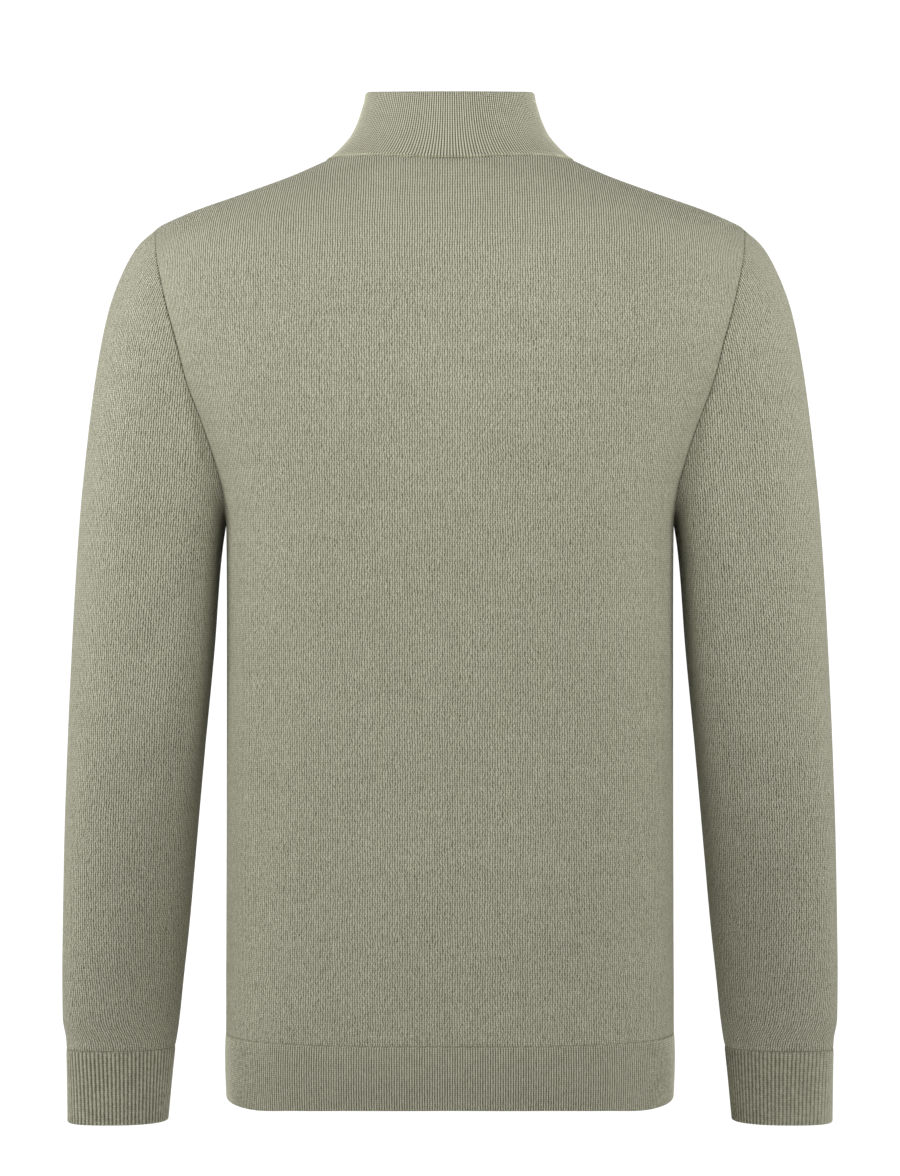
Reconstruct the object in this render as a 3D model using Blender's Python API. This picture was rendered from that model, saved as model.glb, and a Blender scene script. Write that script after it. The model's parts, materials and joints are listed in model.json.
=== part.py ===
"""A quarter zip sweater in fine knit, filled out as if worn, with the zip closed to the top.

Everything is in metres. +Z is up, the front faces -Y, and +X is the wearer's left. The origin is
midway between the two shoulders' highest points, where the collar meets them, because that is
where a wearer holds the garment up.

The cloth is worked out in three steps. The form functions give the outside surface: horizontal
sections for the body, and slanting rings for the sleeves, cuffs and collar. The grid functions lay
each cut piece on that surface, so that two pieces share the points of the seam between them. Then
all pieces are joined into one skin, which gives the seams one common direction of thickness, and
each piece becomes its own wall, a seam's gap away from its neighbours.
"""

import math
from collections import namedtuple

import bmesh
import bpy
from mathutils import Matrix, Vector
from mathutils.kdtree import KDTree

MM = 0.001

# Driving dimensions, in millimetres.
BAND_TOP_Z = -640.0  # where the hem band is linked to the front and back
ARMPIT_Z = -262.0
SHOULDER_TIP_Z = -48.0
CUFF_TOP_Z = -659.5
CUFF_BOTTOM_Z = -716.0
CLOTH = 2.0  # thickness of the single knit
COLLAR_CLOTH = 3.2  # the collar is folded, so it is two layers
SEAM_GAP = 0.4
SAME_POINT = 0.02  # points of two pieces that are this close are one point of their seam
NECK_HALF_WIDTH = 92.0
NECK_BACK_DEPTH = 75.0
NECK_FRONT_DEPTH = 88.0
ZIP_HALF_GAP = 5.0  # half the width of the opening that the zip closes
ARMHOLE_BACK = 62.0  # how far the armhole reaches behind the shoulder's middle
ARMHOLE_FRONT = 70.0

# Horizontal sections of the body. Each is a rounded oblong, and a higher squareness is boxier.
Section = namedtuple("Section", "z half_width back_depth front_depth squareness")
BODY_SECTIONS = [
    Section(12, 66.0, 58.0, 48.0, 2.10),
    Section(0, 92.0, 70.0, 60.0, 2.10),
    Section(-12, 122.6, 80.0, 70.0, 2.12),
    Section(-25, 156.9, 87.5, 79.0, 2.15),
    Section(-42, 201.8, 95.5, 88.0, 2.18),
    Section(-52, 218.0, 100.0, 94.0, 2.20),
    Section(-75, 222.0, 107.5, 105.5, 2.25),
    Section(-105, 218.6, 113.8, 116.5, 2.25),
    Section(-135, 211.2, 117.3, 123.0, 2.25),
    Section(-164, 202.7, 118.5, 127.0, 2.25),
    Section(-193, 189.6, 118.1, 129.0, 2.27),
    Section(-221, 177.8, 116.9, 129.0, 2.30),
    Section(-248, 168.7, 115.0, 127.5, 2.32),
    Section(-270, 165.3, 113.3, 126.0, 2.35),
    Section(-330, 165.0, 108.0, 120.5, 2.38),
    Section(-400, 165.0, 103.5, 115.5, 2.40),
    Section(-480, 165.0, 101.5, 112.0, 2.45),
    Section(-560, 165.0, 103.0, 109.5, 2.60),
    Section(-640, 165.2, 104.0, 108.0, 2.85),
    Section(-666, 165.1, 102.5, 106.5, 2.95),
    Section(-692, 164.8, 98.5, 103.0, 3.00),
]

# The hem's edge, from the middle of a panel (turn 0) to the side (turn 1): it hangs a little lower
# where the band turns round to the side.
HemEdge = namedtuple("HemEdge", "turn z")
HEM_EDGE = [
    HemEdge(0.00, -686.4),
    HemEdge(0.25, -686.8),
    HemEdge(0.41, -688.1),
    HemEdge(0.55, -690.0),
    HemEdge(0.70, -688.9),
    HemEdge(0.85, -687.4),
    HemEdge(1.00, -686.8),
]

# Rings of the left sleeve, each through an outer and an inner point, from the shoulder down.
Ring = namedtuple("Ring", "outer_x outer_z inner_x inner_z half_depth middle_y")
SLEEVE_RINGS = [
    Ring(229.5, -60.0, 166.4, -266.5, 65.8, -4.0),
    Ring(241.5, -80.0, 166.9, -272.0, 64.8, -4.0),
    Ring(252.6, -110.0, 168.0, -281.0, 63.0, -4.0),
    Ring(261.6, -156.0, 170.2, -300.0, 60.0, -3.5),
    Ring(268.5, -210.0, 172.4, -324.0, 57.5, -3.0),
    Ring(273.7, -262.0, 174.8, -353.0, 56.0, -3.5),
    Ring(277.7, -318.0, 177.9, -388.0, 54.5, -5.5),
    Ring(281.1, -376.0, 181.6, -427.0, 53.0, -9.5),
    Ring(284.3, -437.0, 185.7, -470.0, 51.0, -15.5),
    Ring(287.0, -498.0, 190.2, -517.0, 49.0, -23.0),
    Ring(288.9, -558.0, 195.1, -566.0, 46.5, -31.5),
    Ring(290.3, -608.0, 200.1, -608.0, 43.5, -39.0),
    Ring(290.7, -637.0, 203.5, -638.0, 40.5, -43.5),
    Ring(288.8, -651.0, 205.6, -652.0, 37.0, -45.5),
]
CUFF_RINGS = [
    Ring(287.3, CUFF_TOP_Z, 207.1, CUFF_TOP_Z, 34.5, -46.5),
    Ring(287.6, -684.0, 209.9, -684.0, 33.0, -50.0),
    Ring(287.9, CUFF_BOTTOM_Z, 213.2, CUFF_BOTTOM_Z, 32.5, -54.0),
]
SLEEVE_SQUARENESS = 2.1
CUFF_SQUARENESS = 2.6

# How the collar draws in from the neck seam: its flare is 1 at the seam and 0 at the top edge.
CollarStep = namedtuple("CollarStep", "rise flare")
COLLAR_STEPS = [
    CollarStep(0.00, 1.00),
    CollarStep(0.10, 0.80),
    CollarStep(0.20, 0.62),
    CollarStep(0.36, 0.385),
    CollarStep(0.54, 0.22),
    CollarStep(0.76, 0.09),
    CollarStep(0.92, 0.015),
    CollarStep(1.00, 0.00),
]
COLLAR_TOP_HALF_WIDTH = 62.7
COLLAR_TOP_BACK = 60.0
COLLAR_TOP_FRONT = 64.0
COLLAR_TOP_Z_SIDE = 49.0
COLLAR_TOP_Z_SIDE_BACK = 52.5  # the edge peaks a little behind the side
COLLAR_TOP_Z_BACK = 44.5
COLLAR_TOP_Z_FRONT = 17.0
COLLAR_DIP_REACH = 0.3  # the part of the back's top edge that dips to meet the side
COLLAR_STRAIGHT_AT_FRONT = 0.6

# How many faces each piece has along its edges.
NECK_BACK_COLUMNS = 6
NECK_FRONT_COLUMNS = 5
SHOULDER_COLUMNS = 5
YOKE_ROWS = 10
TORSO_ROWS = 8
BAND_ROWS = 3
SLEEVE_ROWS = 17
SLEEVE_CLOSENESS = 1.35  # above 1, a sleeve's rows are closer together at the armhole
CUFF_ROWS = 3
COLLAR_ROWS = 6
SLIT_ROWS = 5  # rows of the yoke that the zip's opening passes through

BACK, FRONT = 1, -1


def slope_limited(before, after):
    """The slope at a table's row, kept from overshooting where the table turns."""
    if before * after <= 0:
        return 0.0
    return 2 * before * after / (before + after)


def read_table(xs, ys, x):
    """A smooth value at x between the rows of a table, whose xs run one way."""
    if (x - xs[0]) * (xs[-1] - xs[0]) <= 0:
        return ys[0]
    if (x - xs[-1]) * (xs[0] - xs[-1]) <= 0:
        return ys[-1]
    steps = [(b - a) / (q - p) for a, b, p, q in zip(ys, ys[1:], xs, xs[1:])]
    slopes = [steps[0]] + [slope_limited(a, b) for a, b in zip(steps, steps[1:])] + [steps[-1]]
    i = next(k for k in range(len(xs) - 1) if (x - xs[k]) * (x - xs[k + 1]) <= 0)
    width = xs[i + 1] - xs[i]
    t = (x - xs[i]) / width
    start = ys[i] * (1 + 2 * t) * (1 - t) ** 2 + slopes[i] * width * t * (1 - t) ** 2
    end = ys[i + 1] * t * t * (3 - 2 * t) - slopes[i + 1] * width * t * t * (1 - t)
    return start + end


def section_at(z):
    """The body's section at one height: half width, back depth, front depth and squareness."""
    zs = [s.z for s in BODY_SECTIONS]
    return [read_table(zs, [s[k] for s in BODY_SECTIONS], z) for k in range(1, 5)]


def body_point(x, z, side):
    """The point of the body's surface at x and z, at the back or the front."""
    half_width, back, front, power = section_at(z)
    depth = back if side == BACK else front
    share = max(0.0, 1 - min(1.0, abs(x) / half_width) ** power)
    return Vector((x, side * depth * share ** (1 / power), z))


def ring_point(turn, z, side):
    """The body's point in the section at z, a quarter turn from the middle (0) to the side (1)."""
    half_width, _, _, power = section_at(z)
    s, c = math.sin(turn * math.pi / 2), math.cos(turn * math.pi / 2)
    return body_point(half_width * s / (s**power + c**power) ** (1 / power), z, side)


def height_on_form(x, y, side):
    """The height at which the body's top surface passes through x and y."""
    low, high = -90.0, 12.0
    for _ in range(40):
        z = (low + high) / 2
        half_width, back, front, power = section_at(z)
        depth = back if side == BACK else front
        if (abs(x) / half_width) ** power + (abs(y) / depth) ** power > 1:
            high = z
        else:
            low = z
    return (low + high) / 2


def neck_point(x, side):
    """A point of the neck seam: an ellipse seen from above, laid on the body."""
    depth = NECK_BACK_DEPTH if side == BACK else NECK_FRONT_DEPTH
    y = side * depth * math.sqrt(max(0.0, 1 - (x / NECK_HALF_WIDTH) ** 2))
    return Vector((x, y, height_on_form(x, y, side)))


def armhole_point(turn, side):
    """A point of the armhole, from the armpit (0) to the shoulder's tip (1)."""
    angle = turn * math.pi
    depth = ARMHOLE_BACK if side == BACK else ARMHOLE_FRONT
    z = (ARMPIT_Z + SHOULDER_TIP_Z) / 2 - math.cos(angle) * (SHOULDER_TIP_Z - ARMPIT_Z) / 2
    y = side * depth * math.sin(angle)
    half_width, back, front, power = section_at(z)
    reach = back if side == BACK else front
    x = half_width * (1 - (abs(y) / reach) ** power) ** (1 / power)
    return Vector((x, y, z))


def neck_columns(side):
    """The x of the seam's points from the middle to the shoulder's high point."""
    count = NECK_BACK_COLUMNS if side == BACK else NECK_FRONT_COLUMNS
    first = 0.0 if side == BACK else math.asin(ZIP_HALF_GAP / NECK_HALF_WIDTH)
    angles = [first + (math.pi / 2 - first) * i / count for i in range(count + 1)]
    middle = [] if side == BACK else [0.0]
    return middle + [NECK_HALF_WIDTH * math.sin(a) for a in angles]


def top_edge(side):
    """The left half of a panel's top edge: the neck curve, then the shoulder seam out to its tip."""
    neck = [neck_point(x, side) for x in neck_columns(side)]
    start, tip = neck[-1], armhole_point(1, side)
    shoulder = []
    for i in range(1, SHOULDER_COLUMNS + 1):
        x = start.x + (tip.x - start.x) * i / SHOULDER_COLUMNS
        shoulder.append(Vector((x, 0.0, height_on_form(x, 0.0, side))))
    shoulder[-1] = tip
    return neck + shoulder


def column_turns(side):
    """Each column's place round the body below the armpit, from the middle (0) to the side (1)."""
    if side == BACK:
        count = NECK_BACK_COLUMNS + SHOULDER_COLUMNS
        return [i / count for i in range(count + 1)]
    first = math.asin(ZIP_HALF_GAP / section_at(ARMPIT_Z)[0]) / (math.pi / 2)
    count = NECK_FRONT_COLUMNS + SHOULDER_COLUMNS
    return [0.0] + [first + (1 - first) * i / count for i in range(count + 1)]


def yoke_row(share, side):
    """Half a row above the armpit. The rows turn from level at the armpit to the top edge's line."""
    top, turns = top_edge(side), column_turns(side)
    climb = (1 - math.cos(share * math.pi)) / 2
    edge = armhole_point(share, side)
    side_x, tip = ring_point(1, ARMPIT_Z, side).x, top[-1]
    row = []
    for turn, end in zip(turns, top):
        start = ring_point(turn, ARMPIT_Z, side)
        across = turn**2
        x = start.x + (end.x - start.x) * climb
        x += across * (edge.x - side_x - (tip.x - side_x) * climb)
        z = start.z + (end.z - start.z) * climb
        z += across * (edge.z - ARMPIT_Z - (tip.z - ARMPIT_Z) * climb)
        row.append(body_point(x, z, side))
    if side == FRONT:
        row[1] = body_point(ZIP_HALF_GAP, row[1].z, side)
    row[-1] = edge
    return top if share == 1 else row


def level_row(z, side):
    """Half a row below the armpit, at one height."""
    row = [ring_point(turn, z, side) for turn in column_turns(side)]
    if side == FRONT:
        row[1] = body_point(ZIP_HALF_GAP, z, side)
    return row


def mirrored(half):
    """A whole row, right to left, from its left half."""
    return [Vector((-p.x, p.y, p.z)) for p in reversed(half[1:])] + half


def body_rows(side):
    """A panel's rows from the hem band up to the neck and shoulders."""
    heights = [BAND_TOP_Z + (ARMPIT_Z - BAND_TOP_Z) * i / TORSO_ROWS for i in range(TORSO_ROWS)]
    rows = [level_row(z, side) for z in heights]
    rows += [yoke_row(i / YOKE_ROWS, side) for i in range(YOKE_ROWS + 1)]
    return [mirrored(row) for row in rows]


def band_rows(side):
    """The hem band's rows from its edge up."""
    turns = column_turns(side)
    edge = [read_table([e.turn for e in HEM_EDGE], [e.z for e in HEM_EDGE], turn) for turn in turns]
    rows = []
    for i in range(BAND_ROWS + 1):
        drop = 1 - i / BAND_ROWS
        heights = [BAND_TOP_Z + (z - BAND_TOP_Z) * drop for z in edge]
        row = [ring_point(turn, z, side) for turn, z in zip(turns, heights)]
        if side == FRONT:
            row[1] = body_point(ZIP_HALF_GAP, row[1].z, side)
        rows.append(mirrored(row))
    return rows


def armhole_loop():
    """The left armhole's points, from the tip round the back to the armpit and up the front."""
    turns = [i / YOKE_ROWS for i in range(YOKE_ROWS + 1)]
    back = [armhole_point(t, BACK) for t in reversed(turns)]
    front = [armhole_point(t, FRONT) for t in turns[1:-1]]
    return back + front


def ring_loop(ring, count, power=SLEEVE_SQUARENESS):
    """A sleeve ring's points, in the order of the armhole's."""
    outer = Vector((ring.outer_x, 0, ring.outer_z))
    inner = Vector((ring.inner_x, 0, ring.inner_z))
    middle = (outer + inner) / 2 + Vector((0, ring.middle_y, 0))
    half = (outer - inner) / 2
    points = []
    for i in range(count):
        c, s = math.cos(2 * math.pi * i / count), math.sin(2 * math.pi * i / count)
        size = (abs(c) ** power + abs(s) ** power) ** (1 / power)
        points.append(middle + half * c / size + Vector((0, ring.half_depth * s / size, 0)))
    return points


def spread_loops(loops, count, closeness):
    """Loops along smooth lines through the loops of a table, closer together at the start above 1."""
    lengths = [0.0]
    for a, b in zip(loops, loops[1:]):
        lengths.append(lengths[-1] + sum((q - p).length for p, q in zip(a, b)) / len(a))

    def point(i, at):
        return Vector([read_table(lengths, [loop[i][axis] for loop in loops], at) for axis in range(3)])

    places = [lengths[-1] * (k / count) ** closeness for k in range(count + 1)]
    return [[point(i, at) for i in range(len(loops[0]))] for at in places]


def arm_loops():
    """The left sleeve's and the left cuff's loops, from the armhole down."""
    armhole = armhole_loop()
    cuff_top = ring_loop(CUFF_RINGS[0], len(armhole), CUFF_SQUARENESS)
    sleeve = [armhole] + [ring_loop(r, len(armhole)) for r in SLEEVE_RINGS] + [cuff_top]
    cuff = [ring_loop(r, len(armhole), CUFF_SQUARENESS) for r in CUFF_RINGS]
    return spread_loops(sleeve, SLEEVE_ROWS, SLEEVE_CLOSENESS), spread_loops(cuff, CUFF_ROWS, 1.0)


def collar_top(x_share, side):
    """A point of the collar's top edge."""
    c = math.sqrt(max(0.0, 1 - x_share**2))
    depth = COLLAR_TOP_BACK if side == BACK else COLLAR_TOP_FRONT
    z = COLLAR_TOP_Z_SIDE + (COLLAR_TOP_Z_FRONT - COLLAR_TOP_Z_SIDE) * c**2
    if side == BACK:
        z = COLLAR_TOP_Z_SIDE_BACK + (COLLAR_TOP_Z_BACK - COLLAR_TOP_Z_SIDE_BACK) * c
        z -= (COLLAR_TOP_Z_SIDE_BACK - COLLAR_TOP_Z_SIDE) * max(0.0, 1 - c / COLLAR_DIP_REACH) ** 2
    return Vector((COLLAR_TOP_HALF_WIDTH * x_share, side * depth * c, z))


def collar_point(x, side, rise):
    """The collar's point above the neck seam's point at x, at a share of its height."""
    base, share = neck_point(x, side), x / NECK_HALF_WIDTH
    if side == FRONT and x <= ZIP_HALF_GAP:
        share = x / COLLAR_TOP_HALF_WIDTH
    top = collar_top(share, side)
    flare = read_table([s.rise for s in COLLAR_STEPS], [s.flare for s in COLLAR_STEPS], rise)
    straight = COLLAR_STRAIGHT_AT_FRONT * (1 - share**2) if side == FRONT else 0.0
    flare += (1 - rise - flare) * straight
    point = top.lerp(base, flare)
    point.z = base.z + (top.z - base.z) * rise
    return point


def collar_rows():
    """The collar's rows from the neck seam up, each from the zip round the back to the zip again."""
    front = [x for x in neck_columns(FRONT) if x > 0]
    back = neck_columns(BACK)[:-1]
    rows = []
    for i in range(COLLAR_ROWS + 1):
        rise = i / COLLAR_ROWS
        half = [collar_point(x, BACK, rise) for x in back]
        half += [collar_point(x, FRONT, rise) for x in reversed(front)]
        rows.append(mirrored(half))
    return rows


def flipped(rows):
    """The same rows on the wearer's right."""
    return [[Vector((-p.x, p.y, p.z)) for p in row] for row in rows]


def cloth_pieces():
    """Each cut piece's name, rows, whether its rows are closed rings, and its thickness."""
    sleeve, cuff = arm_loops()
    return [
        ("back", body_rows(BACK), False, CLOTH),
        ("front", body_rows(FRONT), False, CLOTH),
        ("hem_back", band_rows(BACK), False, CLOTH),
        ("hem_front", band_rows(FRONT), False, CLOTH),
        ("sleeve_left", sleeve, True, CLOTH),
        ("sleeve_right", flipped(sleeve), True, CLOTH),
        ("cuff_left", cuff, True, CLOTH),
        ("cuff_right", flipped(cuff), True, CLOTH),
        ("collar", collar_rows(), False, COLLAR_CLOTH),
    ]


def in_slit(name, row, column, columns):
    """Whether a face of the front's grid lies in the opening that the zip closes."""
    beside_middle = column in (columns // 2 - 1, columns // 2)
    return name == "front" and beside_middle and row >= TORSO_ROWS + YOKE_ROWS - SLIT_ROWS


def joined_skin(pieces):
    """One mesh of all the pieces' outer faces, joined along the seams, each face marked with its piece."""
    skin = bmesh.new()
    piece_of = skin.faces.layers.int.new("piece")
    for index, (name, rows, closed, _) in enumerate(pieces):
        made = [[skin.verts.new(p * MM) for p in row] for row in rows]
        columns = len(rows[0]) if closed else len(rows[0]) - 1
        for r in range(len(made) - 1):
            for c in range(columns):
                if in_slit(name, r, c, columns):
                    continue
                d = (c + 1) % len(rows[0])
                face = skin.faces.new((made[r][c], made[r][d], made[r + 1][d], made[r + 1][c]))
                face[piece_of] = index
    bmesh.ops.delete(skin, geom=[v for v in skin.verts if not v.link_faces], context="VERTS")
    bmesh.ops.remove_doubles(skin, verts=skin.verts[:], dist=SAME_POINT * MM)
    bmesh.ops.recalc_face_normals(skin, faces=skin.faces[:])
    highest_back = max(skin.faces, key=lambda f: f.calc_center_median().y)
    if highest_back.normal.y < 0:
        bmesh.ops.reverse_faces(skin, faces=skin.faces[:])
    skin.normal_update()
    return skin, piece_of


def step_in(vert, faces, others):
    """How far a seam's point moves into its own piece, to leave half the seam's gap."""
    if not others:
        return Vector()
    towards = Vector()
    for face in faces:
        towards += (face.calc_center_median() - vert.co).normalized()
    towards -= vert.normal * towards.dot(vert.normal)
    return towards.normalized() * SEAM_GAP * MM / 2


def add_material(obj, name, colour, roughness, metallic=0.0):
    """Gives an object a plain material, made once for all the objects that share it."""
    made = bpy.data.materials.get(name) or bpy.data.materials.new(name)
    made.use_nodes = True
    shader = made.node_tree.nodes["Principled BSDF"]
    shader.inputs["Base Color"].default_value = (*colour, 1)
    shader.inputs["Roughness"].default_value = roughness
    shader.inputs["Metallic"].default_value = metallic
    obj.data.materials.append(made)


def place(name, mesh_or_bmesh):
    """A new object with that mesh."""
    mesh = bpy.data.meshes.new(name)
    mesh_or_bmesh.to_mesh(mesh)
    mesh_or_bmesh.free()
    obj = bpy.data.objects.new(name, mesh)
    bpy.context.scene.collection.objects.link(obj)
    return obj


def piece_wall(skin, piece_of, index, name, thickness):
    """One piece as a closed wall: its outer faces, the same faces moved in, and the rim between them."""
    wall = bmesh.new()
    faces = [f for f in skin.faces if f[piece_of] == index]
    outer = {}
    inner = {}
    for vert in {v for f in faces for v in f.verts}:
        own = [f for f in vert.link_faces if f[piece_of] == index]
        others = [f for f in vert.link_faces if f[piece_of] != index]
        at = vert.co + step_in(vert, own, others)
        outer[vert] = wall.verts.new(at)
        inner[vert] = wall.verts.new(at - vert.normal * thickness * MM)
    for face in faces:
        wall.faces.new([outer[v] for v in face.verts])
        wall.faces.new([inner[v] for v in reversed(face.verts)])
        for loop in face.loops:
            beyond = [f for f in loop.edge.link_faces if f is not face and f[piece_of] == index]
            if not beyond:
                a, b = loop.vert, loop.link_loop_next.vert
                wall.faces.new((outer[b], outer[a], inner[a], inner[b]))
    return place(name, wall)


# The zip. It runs up the middle of the front, from the bottom of its opening to the collar's top.
TAPE_HALF_WIDTH = 14.0
TAPE_THICKNESS = 0.9
TAPE_GAP = 0.35  # between the cloth's inner face and the tape
TAPE_BELOW = 6.0  # how far the tapes run on behind the front, under the opening
TAPE_SHORT = 1.0  # how far below the collar's top edge the tapes end
TAPE_HALF_GAP = 0.2  # between the middle and a tape's edge, under the teeth
CHAIN_HALF_WIDTH = 2.6
CHAIN_THICKNESS = 1.6
SLIDER_LENGTH = 10.0
SLIDER_HALF_WIDTH = 4.2
SLIDER_BOTTOM_SHARE = 0.62  # the slider narrows to this share of its width at the bottom
SLIDER_TOP_SHARE = 0.86
SLIDER_WIDEST = 0.25  # where it is widest, as a share of half its length above its middle
SLIDER_ROUNDING = 0.5
SLIDER_BELOW_TOP = 5.5
SLIDER_CLEARANCE = 0.5  # between the slider and the chain's last tooth
SLIDER_PROUD = 0.6  # how far the slider's plate stands out from the cloth
PIN_RADIUS = 0.6
PIN_HEIGHT = 1.6  # the pull's pin above the slider's plate
BAIL_HALF_WIDTH = 0.9
BAIL_CLEARANCE = 0.35
BAIL_BAR = 0.9  # the thickness of the bail's arch
BAIL_STRETCH = 1.5  # the arch is this much longer than it is high
BAIL_FOOT = 0.4  # how much further the feet reach along the slider
BAIL_SUNK = 0.5  # how deep the feet stand in the plate
BAIL_STEP_DEGREES = 30
PULL_LENGTH = 24.0
PULL_HALF_WIDTH = 3.2
PULL_END_SHARE = 0.55  # the plate narrows to this share of its width at its end
PULL_END_LENGTH = 1.6
PULL_THICKNESS = 1.3
PULL_LEAN = 2.0  # degrees by which the hanging pull leans in towards the cloth
PULL_PLATE_BELOW = 3.4  # how far below the pin the plate begins, clear of the bail
PULL_SHOULDER = 2.0  # how far the legs take to widen into the plate
LEG_WIDTH = 1.1
LEG_ABOVE = 0.9  # how far the legs reach above the pin's middle
PIN_IN_LEG = 0.6
HOLE_HALF_WIDTH = 1.3
HOLE_BOTTOM = 2.6  # the hole's ends, above the pull's end
HOLE_TOP = 6.5
STOP_LENGTH = 2.5
STOP_WIDER = 0.8  # how much wider than the teeth the bottom stop is, on each side
BOTTOM_STOP_AT = 0.4  # where the bottom stop begins, above the bottom of the opening
TEETH_ABOVE_STOP = 0.5
TOP_STOP_HALF_GAP = 0.4
TOP_STOP_BELOW = 4.6, 1.8  # the top stops' ends, below the collar's top edge
METAL = (0.30, 0.29, 0.25)

# One level of the zip: the left panel's edge, a point of that panel further out, and both normals.
Level = namedtuple("Level", "edge outer edge_normal outer_normal cloth")


def zip_levels(skin, rows):
    """The levels up the left side of the opening, from just under it to the collar's top."""
    tree = KDTree(len(skin.verts))
    for i, vert in enumerate(skin.verts):
        tree.insert(vert.co / MM, i)
    tree.balance()
    skin.verts.ensure_lookup_table()

    def level(edge, outer, cloth):
        normals = [skin.verts[tree.find(p)[1]].normal.copy() for p in (edge, outer)]
        return Level(edge, outer, *normals, cloth)

    middle = len(rows["front"][0]) // 2
    panel = [level(row[middle + 1], row[middle + 2], CLOTH) for row in rows["front"][-SLIT_ROWS - 2 : -1]]
    collar = [level(row[-1], row[-2], COLLAR_CLOTH) for row in rows["collar"]]
    below, bottom = panel[0], panel[1]
    share = TAPE_BELOW / (bottom.edge - below.edge).length
    first = [a + (b - a) * share if isinstance(a, Vector) else a for a, b in zip(bottom, below)]
    return [Level(*first)] + panel[1:] + collar


def level_at(levels, distance):
    """The level at a distance up the opening, measured from its bottom."""
    at = -(levels[1].edge - levels[0].edge).length
    for a, b in zip(levels, levels[1:]):
        length = (b.edge - a.edge).length
        if distance <= at + length or b is levels[-1]:
            share = (distance - at) / length
            return Level(*[p + (q - p) * share for p, q in zip(a, b)]), (b.edge - a.edge).normalized()
        at += length
    return levels[-1], Vector((0, 0, 1))


def opening_length(levels):
    """The opening's length along the cloth's edge."""
    return sum((b.edge - a.edge).length for a, b in zip(levels[1:], levels[2:]))


def under_cloth(level, x, depth):
    """The point x from the middle, at a depth under the outside of the left panel or of the opening."""
    if x <= level.edge.x:
        inward = Vector((0, level.edge_normal.y, level.edge_normal.z))
        return Vector((x, level.edge.y, level.edge.z)) - inward * depth
    share = (x - level.edge.x) / (level.outer.x - level.edge.x)
    normal = level.edge_normal.lerp(level.outer_normal, share)
    return level.edge.lerp(level.outer, share) - normal * depth


def strip(name, levels, distances, xs, top, thickness, side=1):
    """A strip up the front through several x, its outer face at top(level) under the cloth's outside."""
    made = bmesh.new()
    loops = []
    for distance in distances:
        level, _ = level_at(levels, distance)
        low = top(level)
        points = [under_cloth(level, x, low) for x in xs]
        points += [under_cloth(level, x, low + thickness) for x in reversed(xs)]
        loops.append([made.verts.new(Vector((side * p.x, p.y, p.z)) * MM) for p in points])
    count = len(loops[0])
    for a, b in zip(loops, loops[1:]):
        for i in range(count):
            made.faces.new((a[i], a[(i + 1) % count], b[(i + 1) % count], b[i]))
    columns = len(xs)
    for loop in (loops[0], loops[-1]):
        for i in range(columns - 1):
            made.faces.new((loop[i], loop[i + 1], loop[count - 2 - i], loop[count - 1 - i]))
    bmesh.ops.recalc_face_normals(made, faces=made.faces[:])
    return place(name, made)


def rounded(obj, width, segments=2):
    """A bevel on an object's edges."""
    bevel = obj.modifiers.new("rounded_edges", "BEVEL")
    bevel.width = width * MM
    bevel.segments = segments
    bevel.limit_method = "ANGLE"
    return obj


def union(obj, others):
    """Joins other objects into one solid and drops them."""
    for other in others:
        joined = obj.modifiers.new("join", "BOOLEAN")
        joined.operation = "UNION"
        joined.object = other
        other.hide_render = True
        other.display_type = "WIRE"


def slider_plate(name):
    """The slider's body: a plate that narrows towards the bottom and stands in the opening."""
    made = bmesh.new()
    half = SLIDER_LENGTH / 2
    outline = [
        (-SLIDER_HALF_WIDTH * SLIDER_BOTTOM_SHARE, -half),
        (SLIDER_HALF_WIDTH * SLIDER_BOTTOM_SHARE, -half),
        (SLIDER_HALF_WIDTH, half * SLIDER_WIDEST),
        (SLIDER_HALF_WIDTH * SLIDER_TOP_SHARE, half),
        (-SLIDER_HALF_WIDTH * SLIDER_TOP_SHARE, half),
        (-SLIDER_HALF_WIDTH, half * SLIDER_WIDEST),
    ]
    low = [made.verts.new(Vector((x, COLLAR_CLOTH, z)) * MM) for x, z in outline]
    high = [made.verts.new(Vector((x, -SLIDER_PROUD, z)) * MM) for x, z in outline]
    made.faces.new(low)
    made.faces.new(high[::-1])
    count = len(outline)
    for i in range(count):
        j = (i + 1) % count
        made.faces.new((low[i], high[i], high[j], low[j]))
    bmesh.ops.recalc_face_normals(made, faces=made.faces[:])
    return rounded(place(name, made), SLIDER_ROUNDING)


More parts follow.
